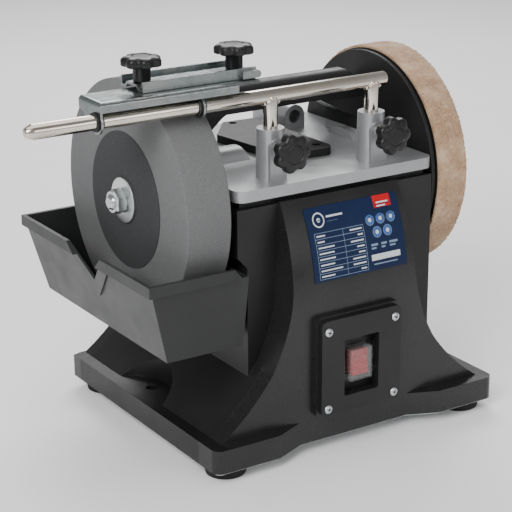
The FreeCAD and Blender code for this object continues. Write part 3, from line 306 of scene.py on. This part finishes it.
def shade(mesh, crease_deg):
    """Smooth faces, with a crease where two meet at more than that angle."""
    for polygon in mesh.polygons:
        polygon.use_smooth = True
    mesh.set_sharp_from_angle(angle=math.radians(crease_deg))


def publish(name, bm, node, looks=None, crease_deg=38, weighted=False):
    """Turns a bmesh into a piece that stands for a CAD node and rides on its body."""
    bmesh.ops.recalc_face_normals(bm, faces=bm.faces)
    obj = mesh_object(name, bm, looks or [LOOKS[SLOT_OF[node]]])
    shade(obj.data, crease_deg)
    if weighted:
        modifier = obj.modifiers.new("normals", "WEIGHTED_NORMAL")
        modifier.keep_sharp = True
    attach(obj, BODY_OF[node])
    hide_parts(node)


def welded(node):
    """A bmesh of a CAD node, its facets joined at their shared corners."""
    bm = bmesh.new()
    bm.from_mesh(frame["nodes"][node].data)
    bmesh.ops.remove_doubles(bm, verts=bm.verts, dist=SAME_SPOT)
    return bm


def soften(node, width_mm):
    """A CAD node's own shape with its sharp edges rounded and marked for wear."""
    flat = math.radians(0.4)
    crease = math.radians(CREASE_DEG)
    bm = welded(node)
    bmesh.ops.dissolve_limit(bm, angle_limit=flat, verts=bm.verts, edges=bm.edges)
    sharp = [e for e in bm.edges if len(e.link_faces) == 2 and e.calc_face_angle(0) > crease]
    made = bmesh.ops.bevel(bm, geom=sharp, offset=width_mm * MM, offset_type="OFFSET",
                           segments=3, profile=0.5, affect="EDGES", clamp_overlap=True)
    worn = bm.verts.layers.float.new("edge")
    strip = set(made["faces"])
    for vert in {v for face in strip for v in face.verts}:
        if all(face in strip for face in vert.link_faces):
            vert[worn] = 1.0
    publish(node + "_shell", bm, node, weighted=True)


def put(axis, along, u, v):
    """Vector from one coordinate along an axis and two across it."""
    spot = [0.0, 0.0, 0.0]
    for index, value in zip(AXES[axis], (along, u, v)):
        spot[index] = value
    return Vector(spot)


def centre_of(node):
    low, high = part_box(node)
    return (low + high) / 2


def rounded(points, radius, steps=4):
    """A closed outline with every corner turned into an arc; a corner may carry its own radius."""
    most_of_a_side = 0.45
    out = []
    for index, corner in enumerate(points):
        here = Vector(corner[:2])
        before = Vector(points[index - 1][:2]) - here
        after = Vector(points[(index + 1) % len(points)][:2]) - here
        size = corner[2] if len(corner) > 2 else radius
        if size <= 0:
            out.append(here)
            continue
        half = before.angle(after) / 2
        reach = min(size / math.tan(half), before.length * most_of_a_side,
                    after.length * most_of_a_side)
        start = here + before.normalized() * reach
        end = here + after.normalized() * reach
        for step in range(steps + 1):
            t = step / steps
            out.append((1 - t) ** 2 * start + 2 * t * (1 - t) * here + t * t * end)
    return out


def revolve(bm, axis, centre, loop, segments, closed=True, radius=None):
    """Sweeps (along, radius) points round an axis through centre; radius() may bend them."""
    base = [centre[i] for i in AXES[axis]]
    rings = []
    for step in range(segments):
        angle = TURN * step / segments
        ring = []
        for along, r in loop:
            reach = radius(along, r, angle) if radius else r
            ring.append(bm.verts.new(put(axis, base[0] + along, base[1] + reach * math.cos(angle),
                                         base[2] + reach * math.sin(angle))))
        rings.append(ring)
    count = len(loop)
    for here, there in zip(rings, rings[1:] + rings[:1]):
        for index in range(count if closed else count - 1):
            nxt = (index + 1) % count
            bm.faces.new((here[index], there[index], there[nxt], here[nxt]))
    if not closed:
        for index in (0, -1):
            bm.faces.new([ring[index] for ring in rings])


def ring_piece(name, node, rings, segments):
    """One piece made of plain rings on the shaft's axis."""
    bm = bmesh.new()
    for centre, loop in rings:
        revolve(bm, "X", centre, loop, segments)
    publish(name, bm, node)


def washer_loop(thick_mm, outer_mm, edge_mm):
    """Section of a washer on the shaft."""
    half, outer = thick_mm * MM / 2, outer_mm * MM
    return rounded([(-half, SHAFT_R), (-half, outer), (half, outer), (half, SHAFT_R)],
                   edge_mm * MM)


# ---------------------------------------------------------------- wheels

def build_stone():
    """Grinding wheel with dulled corners and a tread worn slightly uneven."""
    low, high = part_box("grinding_wheel")
    half, outer = (high.x - low.x) / 2, (high.z - low.z) / 2
    corner, wear, patches = 1.4 * MM, 0.25 * MM, 60
    loop = rounded([(-half, SHAFT_R, 0), (-half, outer, corner), (half, outer, corner),
                    (half, SHAFT_R, 0)], 0, 5)

    def worn(along, r, angle):
        if r <= outer * 0.9:
            return r
        spot = Vector((along, r * math.cos(angle), r * math.sin(angle))) * patches
        return r - wear * (0.5 + 0.5 * noise.noise(spot))

    bm = bmesh.new()
    revolve(bm, "X", centre_of("grinding_wheel"), loop, 240, radius=worn)
    publish("grinding_wheel_stone", bm, "grinding_wheel")


def pair(name, node, thick_mm, outer_mm, edge_mm):
    """Two rings on the shaft, one at each end of a node's box."""
    low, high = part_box(node)
    middle = centre_of(node)
    rings = []
    for end, inward, thick in zip((low.x, high.x), (1, -1), thick_mm):
        spot = Vector((end + inward * thick * MM / 2, middle.y, middle.z))
        rings.append((spot, washer_loop(thick, outer_mm, edge_mm)))
    ring_piece(name, node, rings, 128)


def hex_nut(name, node):
    """Chamfered hexagon nut on the shaft, with a countersunk bore."""
    low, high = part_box(node)
    half = (high.x - low.x) / 2
    corner = max(high.y - low.y, high.z - low.z) / 2
    flat = corner * math.cos(math.pi / 6)
    chamfer, sink = 1.4 * MM, 0.8 * MM
    face_r = flat * 0.93
    loop = [(-half, SHAFT_R + sink), (-half, face_r), (-half + chamfer, corner),
            (half - chamfer, corner), (half, face_r), (half, SHAFT_R + sink),
            (half - sink, SHAFT_R), (-half + sink, SHAFT_R)]
    turn = math.pi / 6 if high.y - low.y < 2 * corner - 0.1 * MM else 0

    def hexagon(along, r, angle):
        if r <= face_r:
            return r
        around = (angle + turn) % (math.pi / 3) - math.pi / 6
        return min(r, flat / math.cos(around))

    bm = bmesh.new()
    revolve(bm, "X", centre_of(node), loop, 180, radius=hexagon)
    publish(name, bm, node, crease_deg=25)


def build_shaft():
    """Main shaft with a rolled thread and a chamfer at each end."""
    low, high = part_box("wheel_shaft")
    pitch, depth, threaded = 1.5 * MM, 0.5 * MM, 20 * MM
    half = (high.x - low.x) / 2
    left = [(-half, SHAFT_R - 1.6 * MM), (-half + 1.2 * MM, SHAFT_R - 0.3 * MM)]
    for index in range(int((threaded - 2 * MM) / pitch)):
        start = -half + 1.6 * MM + index * pitch
        left += [(start, SHAFT_R - depth), (start + pitch * 0.4, SHAFT_R),
                 (start + pitch * 0.6, SHAFT_R)]
    right = [(-along, reach) for along, reach in reversed(left)]
    bm = bmesh.new()
    revolve(bm, "X", centre_of("wheel_shaft"), left + right, 64, closed=False)
    publish("wheel_shaft_threaded", bm, "wheel_shaft", crease_deg=30)


def build_leather():
    """Strip of leather glued round the drum: crowned, frayed at its edges, with a skew splice."""
    low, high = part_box("leather_tyre")
    half, outer = (high.x - low.x) / 2, (high.z - low.z) / 2
    inner = outer - 2.8 * MM
    crown, below_box = 0.7 * MM, 0.25 * MM
    fibre, nap_depth, fray_depth = 260, 0.34 * MM, 0.9 * MM
    splice, skew = math.radians(-22), 9
    splice_depth, splice_width = 0.7 * MM, 0.45 * MM
    across = 14
    loop = [(half, inner), (-half, inner)]
    for step in range(across + 1):
        t = 2 * step / across - 1
        loop.append((half * t, outer - crown * abs(t) ** 6 - below_box))

    def napped(along, r, angle):
        if r < inner + 0.5 * MM:
            return r
        spot = Vector((along, r * math.cos(angle), r * math.sin(angle))) * fibre
        nap = noise.fractal(spot, 1.0, 2.0, 3) * nap_depth
        fray = noise.noise(spot * 2.5) * fray_depth * (abs(along) / half) ** 8
        lean = (angle - splice - along * skew + math.pi) % TURN - math.pi
        seam = -splice_depth * math.exp(-(lean * r / splice_width) ** 2)
        return min(outer, r + nap + fray + seam)

    bm = bmesh.new()
    revolve(bm, "X", centre_of("leather_tyre"), loop, 900, radius=napped)
    publish("leather_tyre_strip", bm, "leather_tyre", crease_deg=60)


# ---------------------------------------------------------------- knobs

def star_profile(face, head):
    """(along, radius, share of the star outline) from the neck's end to the centre of the face."""
    under = face - head
    return [
        (0.0, 0.0, 0), (0.0, KNOB_NECK_R - 0.8 * MM, 0), (0.6 * MM, KNOB_NECK_R, 0),
        (under - 1.5 * MM, KNOB_NECK_R, 0), (under - 0.3 * MM, KNOB_NECK_R + 0.9 * MM, 0),
        (under, KNOB_NECK_R + 2.2 * MM, 0.3), (under, KNOB_R - 1.6 * MM, 1),
        (under + 0.5 * MM, KNOB_R - 0.4 * MM, 1), (under + 1.3 * MM, KNOB_R, 1),
        (face - 3.4 * MM, KNOB_R, 1), (face - 2.2 * MM, KNOB_R - 0.5 * MM, 1),
        (face - 1.2 * MM, KNOB_R - 1.6 * MM, 1), (face - 0.5 * MM, KNOB_R - 3.4 * MM, 0.9),
        (face - 0.1 * MM, KNOB_R - 5.8 * MM, 0.5), (face, 8.6 * MM, 0), (face, 8.0 * MM, 0),
        (face - 0.5 * MM, 7.6 * MM, 0), (face - 0.5 * MM, 7.2 * MM, 0),
        (face - 0.1 * MM, 6.7 * MM, 0), (face, 5.8 * MM, 0), (face, 0.0, 0),
    ]


def bridge(bm, rings, closed=False):
    """Faces between each ring and the next, and from the last back to the first if closed."""
    faces = []
    for here, there in zip(rings, rings[1:] + (rings[:1] if closed else [])):
        for step in range(len(here)):
            nxt = (step + 1) % len(here)
            faces.append(bm.faces.new((here[step], here[nxt], there[nxt], there[step])))
    return faces


def star_knob(node, axis, direction, head_mm):
    """Seven-lobed hand knob, rounded over, with a disc let into its face."""
    low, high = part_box(node)
    index = AXES[axis][0]
    base = [centre_of(node)[i] for i in AXES[axis]]
    base[0] = low[index] if direction > 0 else high[index]
    phase = math.pi / 2 if axis == "Y" else 0
    segments, scoop = 210, 2.4 * MM
    bm = bmesh.new()
    rings = []
    for along, r, star in star_profile(high[index] - low[index], head_mm * MM):
        ring = []
        for step in range(segments):
            angle = TURN * step / segments
            lobe = ((1 - math.cos(KNOB_LOBES * (angle - phase))) / 2) ** 1.5
            reach = max(r - star * scoop * lobe, 0)
            ring.append(bm.verts.new(put(axis, base[0] + direction * along,
                                         base[1] + reach * math.cos(angle),
                                         base[2] + reach * math.sin(angle))))
        rings.append(ring)
    bridge(bm, rings)
    bmesh.ops.remove_doubles(bm, verts=bm.verts, dist=SAME_SPOT / 10)
    publish(node + "_star", bm, node, crease_deg=50)


# ---------------------------------------------------------------- support bar

def weld_bead(bm, x, y, z):
    """Rippled fillet where a leg meets the underside of the bar."""
    around, section, size = 96, 10, 1.25 * MM
    ripples, uneven = 15, 90
    out = BAR_R + 0.35 * size
    rings = []
    for step in range(around):
        angle = TURN * step / around
        patchy = noise.noise(Vector((x * uneven, angle * 3, 0)))
        ripple = 1 + 0.22 * math.sin(angle * ripples) + 0.25 * patchy
        depth = min(abs(out * math.sin(angle)), BAR_R * 0.98)
        saddle = z - math.sqrt(BAR_R ** 2 - depth ** 2)
        outward = Vector((math.cos(angle), math.sin(angle), 0))
        middle = Vector((x, y, saddle - 0.3 * size)) + outward * out
        ring = []
        for part in range(section):
            turn = TURN * part / section
            offset = outward * math.cos(turn) + Vector((0, 0, math.sin(turn)))
            ring.append(bm.verts.new(middle + offset * size * ripple))
        rings.append(ring)
    bridge(bm, rings, closed=True)


def build_bar():
    """Bar with a waisted nose and its two legs, welded on."""
    low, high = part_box("support_bar")
    y, z = (low.y + high.y) / 2, high.z - BAR_R
    length, leg = high.x - low.x, high.z - BAR_R - low.z
    around = 72
    bm = bmesh.new()
    revolve(bm, "X", Vector((low.x, y, z)), [
        (0, 2.6 * MM), (0.4 * MM, 3.4 * MM), (1.2 * MM, 4.0 * MM), (5.6 * MM, BAR_R - 0.2 * MM),
        (6.6 * MM, BAR_R), (length - 1.3 * MM, BAR_R), (length - 0.4 * MM, BAR_R - 0.4 * MM),
        (length, BAR_R - 1.3 * MM)], around, closed=False)
    for stud in ("lock_stud_left", "lock_stud_right"):
        x = centre_of(stud).x
        revolve(bm, "Z", Vector((x, y, low.z)), [
            (0, BAR_R - 1 * MM), (1 * MM, BAR_R), (leg - 3 * MM, BAR_R),
            (leg - 1 * MM, BAR_R - 0.3 * MM)], around, closed=False)
        weld_bead(bm, x, y, z)
    publish("support_bar_welded", bm, "support_bar", crease_deg=45)


# ---------------------------------------------------------------- screws

def cross_head(bm, axis, direction, spot, radius, height):
    """Domed screw head with a cross recess, its sunk faces given the second material as painted
    shade.
    """
    rings, around = 14, 96
    lead, cross_turn = math.radians(20), 0.35
    slot_half, slot_reach, slot_depth = radius * 0.14, radius * 0.56, height * 0.75
    base = [spot[i] for i in AXES[axis]]
    sunk = set()

    def vertex(r, angle, rise):
        return bm.verts.new(put(axis, base[0] + direction * rise, base[1] + r * math.cos(angle),
                                base[2] + r * math.sin(angle)))

    angles = [TURN * step / around + lead for step in range(around)]
    grid = []
    for ring in range(rings + 1):
        share = ring / rings
        r = radius * share
        dome = height * math.sqrt(max(0, 1 - (share * 0.96) ** 2.6))
        row = []
        for angle in angles:
            u, v = abs(r * math.cos(angle - cross_turn)), abs(r * math.sin(angle - cross_turn))
            inside = min(u, v) < slot_half and max(u, v) < slot_reach
            row.append(vertex(r, angle, dome - slot_depth * (1 - share) * inside))
            if inside:
                sunk.add(row[-1])
        grid.append(row)
    grid.append([vertex(radius, angle, 0) for angle in angles])
    for face in bridge(bm, grid):
        # Faces sunk in the cross take the second material: painted shade in the recess.
        face.material_index = int(all(vert in sunk for vert in face.verts))
    bm.faces.new(grid[-1])


def islands(node):
    """Low and high corner of each separate solid in a CAD node, from low to high X."""
    bm = welded(node)
    left = set(bm.verts)
    found = []
    while left:
        stack = [left.pop()]
        group = []
        while stack:
            vert = stack.pop()
            group.append(vert.co.copy())
            for edge in vert.link_edges:
                other = edge.other_vert(vert)
                if other in left:
                    left.discard(other)
                    stack.append(other)
        low, high = (Vector([pick(c[i] for c in group) for i in range(3)]) for pick in (min, max))
        found.append((low, high))
    bm.free()
    return sorted(found, key=lambda corners: tuple(corners[0]))


def screw_set(node, axis, direction, head_r_mm, head_mm):
    """A cross-head screw in place of each solid of a node."""
    bm = bmesh.new()
    index = AXES[axis][0]
    for low, high in islands(node):
        seat = (low + high) / 2
        tip = high[index] if direction > 0 else low[index]
        seat[index] = tip - direction * head_mm * MM
        cross_head(bm, axis, direction, seat, head_r_mm * MM, head_mm * MM)
    # The second material darkens the cross recesses: painted shade.
    publish(node + "_cross", bm, node, looks=[LOOKS[SLOT_OF[node]], PAINTED_RECESS_SHADE], crease_deg=35)


# ---------------------------------------------------------------- label

def foil_curve():
    """Y of the foil's outer face at a height, by a parabola through its foot, middle and top."""
    low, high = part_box("data_plate")
    mesh = frame["nodes"]["data_plate"].data
    foot = min((v.co for v in mesh.vertices), key=lambda c: (round(c.z, 5), c.y))
    top = min((v.co for v in mesh.vertices), key=lambda c: (-round(c.z, 4), c.y))
    outer = []
    for z, y in sorted({(round(v.co.z, 5), round(v.co.y, 6)) for v in mesh.vertices
                        if abs(v.co.x - low.x) < SAME_SPOT}):
        if not outer or z - outer[-1][0] > 10 * SAME_SPOT:
            outer.append((z, y))
        elif y < outer[-1][1]:
            outer[-1] = (z, y)
    middle = min(outer, key=lambda point: abs(point[0] - (foot.z + top.z) / 2))
    (z0, y0), (z1, y1), (z2, y2) = (foot.z, foot.y), middle, (top.z, top.y)

    def surface(z):
        a = (z - z1) * (z - z2) / ((z0 - z1) * (z0 - z2)) * y0
        b = (z - z0) * (z - z2) / ((z1 - z0) * (z1 - z2)) * y1
        c = (z - z0) * (z - z1) / ((z2 - z0) * (z2 - z1)) * y2
        return a + b + c

    return surface


def build_table(patch, white, rule, curved):
    """Ruled table of eight rows, with a bar in each of its two columns."""
    line_u, line_v, bar_v = 0.0035, 0.006, 0.02
    left, right, split = 0.055, 0.575, 0.355
    rows_top, row_tall, rows = 0.335, 0.0785, 8
    for index in range(rows + 1):
        v = rows_top + index * row_tall
        patch(left, v, right, v + line_v, rule)
    for u in (left, split, right):
        patch(u, rows_top, u + line_u, rows_top + rows * row_tall, rule, rows=curved)
    lengths = (0.09, 0.075, 0.17, 0.16, 0.165, 0.15, 0.23, 0.14)
    values = (0.13, 0.055, 0.14, 0.08, 0.07, 0.14, 0.14, 0.06)
    for index, (length, value) in enumerate(zip(lengths, values)):
        v = rows_top + (index + 0.42) * row_tall
        patch(left + 0.02, v, left + 0.02 + length, v + bar_v, white)
        patch(right - 0.015 - value, v, right - 0.015, v + bar_v, white)


def build_label():
    """Generic print on the blue foil: rules, bars and discs, and no lettering."""
    low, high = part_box("data_plate")
    surface = foil_curve()
    width, tall = high.x - low.x, high.z - low.z
    bm = bmesh.new()

    def spot(u, v, lift):
        """u and v run 0 to 1 from the foil's top left corner; lift is in mm."""
        z = high.z - v * tall
        return bm.verts.new(Vector((low.x + u * width, surface(z) - lift * MM, z)))

    def patch(u0, v0, u1, v1, material, lift=0.06, rows=1):
        heights = [v0 + (v1 - v0) * i / rows for i in range(rows + 1)]
        verts = [(spot(u0, v, lift), spot(u1, v, lift)) for v in heights]
        for (a, b), (c, d) in zip(verts, verts[1:]):
            bm.faces.new((a, b, d, c)).material_index = material

    def disc(u, v, radius, material, lift=0.07, inner=0.0):
        steps = 28

        def ring(r):
            return [spot(u + r * math.cos(TURN * i / steps),
                         v + r * width / tall * math.sin(TURN * i / steps), lift)
                    for i in range(steps)]

        if inner:
            faces = bridge(bm, [ring(radius), ring(inner)])
        else:
            faces = [bm.faces.new(ring(radius))]
        for face in faces:
            face.material_index = material

    white, red, rule, icon = range(4)
    curved = 8
    build_table(patch, white, rule, curved)
    disc(0.13, 0.17, 0.062, white, inner=0.050)
    disc(0.13, 0.17, 0.018, white)
    patch(0.215, 0.13, 0.39, 0.155, white)
    patch(0.215, 0.185, 0.33, 0.205, rule)
    patch(0.735, 0.0, 0.925, 0.19, red, rows=curved)
    patch(0.765, 0.085, 0.895, 0.105, white, 0.09)
    patch(0.765, 0.13, 0.86, 0.15, white, 0.09)
    for u, v in ((0.66, 0.30), (0.775, 0.30), (0.89, 0.30), (0.715, 0.475), (0.83, 0.475)):
        disc(u, v, 0.047, rule, 0.06)
        disc(u, v, 0.043, icon, 0.08)
        disc(u, v, 0.018, white, 0.10)
    for u, span in ((0.63, 0.075), (0.74, 0.06), (0.83, 0.09)):
        patch(u, 0.625, u + span, 0.655, rule)
        patch(u, 0.675, u + span * 0.7, 0.70, rule)
    patch(0.62, 0.775, 0.935, 0.86, white, rows=2)
    patch(0.64, 0.905, 0.90, 0.922, rule)
    bmesh.ops.recalc_face_normals(bm, faces=bm.faces)
    obj = mesh_object("label_print", bm, (PRINT_WHITE, PRINT_RED, PRINT_LINE, PRINT_ICON))
    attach(obj, BODY_OF["data_plate"])


def build_trough_rib():
    """Thin rib beside the vee, raised on the trough's sloping left wall."""
    low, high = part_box("water_trough")
    middle = (low.y + high.y) / 2
    foot, brim = 169 * MM, 185.6 * MM
    from_right = 187 * MM
    ends_mm = ((-39.4, 160.7), (-12.4, 132.3))
    section_mm = ((-0.3, -0.8), (0.9, -0.5), (0.9, 0.5), (-0.3, 0.8))
    bm = bmesh.new()
    rings = []
    for y_mm, z_mm in ends_mm:
        share = (z_mm * MM - low.z) / (high.z - low.z)
        wall = low.x + from_right - (foot + share * (brim - foot))
        rings.append([bm.verts.new((wall - out * MM, middle + (y_mm + shift) * MM,
                                    (z_mm - shift) * MM)) for out, shift in section_mm])
    bridge(bm, rings)
    for ring in rings:
        bm.faces.new(ring)
    bmesh.ops.recalc_face_normals(bm, faces=bm.faces)
    rib = mesh_object("trough_rib", bm, [LOOKS["trough_plastic"]])
    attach(rib, BODY_OF["water_trough"])


# ---------------------------------------------------------------- build

SOFTENED = {
    "housing": 1.2, "front_fascia": 1.4, "rear_fascia": 1.4, "top_plate": 1.0,
    "carry_handle": 1.2, "drum_shield": 1.0, "centre_cover": 0.8, "water_trough": 0.9,
    "jig_base": 0.6, "jig_clamp": 0.6, "switch_plate": 0.9, "switch_frame": 0.6,
    "switch_cover": 1.0, "switch_rocker": 1.0, "rubber_feet": 1.0, "bottom_plate": 0.3,
    "cable_gland": 0.8, "honing_drum": 0.8, "bar_bushes": 0.4, "shaft_bush_left": 0.5,
    "shaft_bush_right": 0.5, "handle_bolts": 0.4, "motor_hanger": 0.3, "motor_cradle": 0.3,
    "drive_roller": 0.4, "tie_bolts": 0.3, "motor_end_shields": 0.5,
}

for plain, obj in frame["nodes"].items():
    obj.data.materials.clear()
    obj.data.materials.append(LOOKS[SLOT_OF[plain]])
    shade(obj.data, CREASE_DEG)

for softened, edge_mm in SOFTENED.items():
    soften(softened, edge_mm)

build_stone()
build_shaft()
build_leather()
pair("paper_discs", "paper_washers", thick_mm=(0.6, 0.6), outer_mm=57, edge_mm=0.15)
pair("flange_discs", "flange_washers", thick_mm=(2.5, 3.0), outer_mm=19, edge_mm=0.5)
hex_nut("arbor_nut_hex", "arbor_nut")
hex_nut("honing_nut_hex", "honing_nut")
ring_piece("honing_washer_disc", "honing_washer",
           [(centre_of("honing_washer"), washer_loop(thick_mm=2, outer_mm=15, edge_mm=0.4))], 96)
build_bar()
for knob in ("jig_knob_left", "jig_knob_right"):
    star_knob(knob, "Z", 1, head_mm=8)
for knob in ("lock_knob_left", "lock_knob_right"):
    star_knob(knob, "Y", -1, head_mm=10)
screw_set("switch_plate_screws", "Y", -1, head_r_mm=3.7, head_mm=2.0)
screw_set("cover_screws", "Z", 1, head_r_mm=3.4, head_mm=2.0)
build_label()
build_trough_rib()


# ---------------------------------------------------------------- stage

def lamp(name, where, aim, size, power):
    """Rectangular area light."""
    data = bpy.data.lights.new(name, "AREA")
    data.shape = "RECTANGLE"
    data.size, data.size_y = size
    data.energy = power
    obj = bpy.data.objects.new(name, data)
    obj.location = where
    obj.rotation_euler = (Vector(aim) - Vector(where)).to_track_quat("-Z", "Y").to_euler()
    bpy.context.scene.collection.objects.link(obj)


def build_floor():
    """Sheet of white paper under the machine."""
    bm = bmesh.new()
    bmesh.ops.create_grid(bm, x_segments=2, y_segments=2, size=4)
    s = Shader("floor_paper", Roughness=0.7)
    tone = s.blend(s.span(s.noise(3, 3), 0.3, 0.7), (0.93, 0.93, 0.93), (0.96, 0.96, 0.96))
    floor = mesh_object("floor", bm, [s.wire(Base_Color=tone)])


def build_world():
    """White surroundings, brighter at the horizon than overhead."""
    world = bpy.data.worlds.new("studio")
    world.use_nodes = True
    tree = world.node_tree
    background = tree.nodes["Background"]
    view = tree.nodes.new("ShaderNodeTexCoord")
    height = tree.nodes.new("ShaderNodeSeparateXYZ")
    grade = tree.nodes.new("ShaderNodeMapRange")
    for socket, value in (("From Min", -0.1), ("From Max", 0.6), ("To Min", 0.62),
                          ("To Max", 0.30)):
        grade.inputs[socket].default_value = value
    tree.links.new(view.outputs["Generated"], height.inputs[0])
    tree.links.new(height.outputs["Z"], grade.inputs["Value"])
    tree.links.new(grade.outputs["Result"], background.inputs["Strength"])
    background.inputs["Color"].default_value = (1, 1, 1, 1)
    bpy.context.scene.world = world


def build_camera():
    """Camera on a long lens, placed by its angles and distance from a point that it looks at."""
    azimuth, elevation, roll = (math.radians(a) for a in (-32.7, 18.9, 0.3))
    aim, distance = Vector((0.0840, 0.07505, 0.1041)), 1.517
    data = bpy.data.cameras.new("camera")
    data.sensor_width = 36
    data.lens = 115.83
    data.shift_x, data.shift_y = 0.0016, 0.0041
    data.clip_end = 30
    camera = bpy.data.objects.new("camera", data)
    back = Vector((math.sin(azimuth) * math.cos(elevation),
                   -math.cos(azimuth) * math.cos(elevation), math.sin(elevation)))
    camera.location = aim + back * distance
    turn = (-back).to_track_quat("-Z", "Y").to_matrix() @ Matrix.Rotation(-roll, 3, "Z")
    camera.rotation_euler = turn.to_euler()
    bpy.context.scene.collection.objects.link(camera)
    bpy.context.scene.camera = camera


build_floor()
lamp("key", (-1.6, -1.0, 1.5), (0, 0, 0.15), (1.2, 1.2), 50)
lamp("front", (0.5, -2.2, 0.9), (0, 0, 0.15), (1.6, 0.9), 10)
lamp("rim", (0.9, 1.5, 1.6), (0, 0, 0.2), (1.4, 1.0), 34)
lamp("top", (0.0, 0.1, 2.2), (0, 0, 0.1), (1.8, 1.8), 17)
build_world()
build_camera()
bpy.context.view_layer.update()
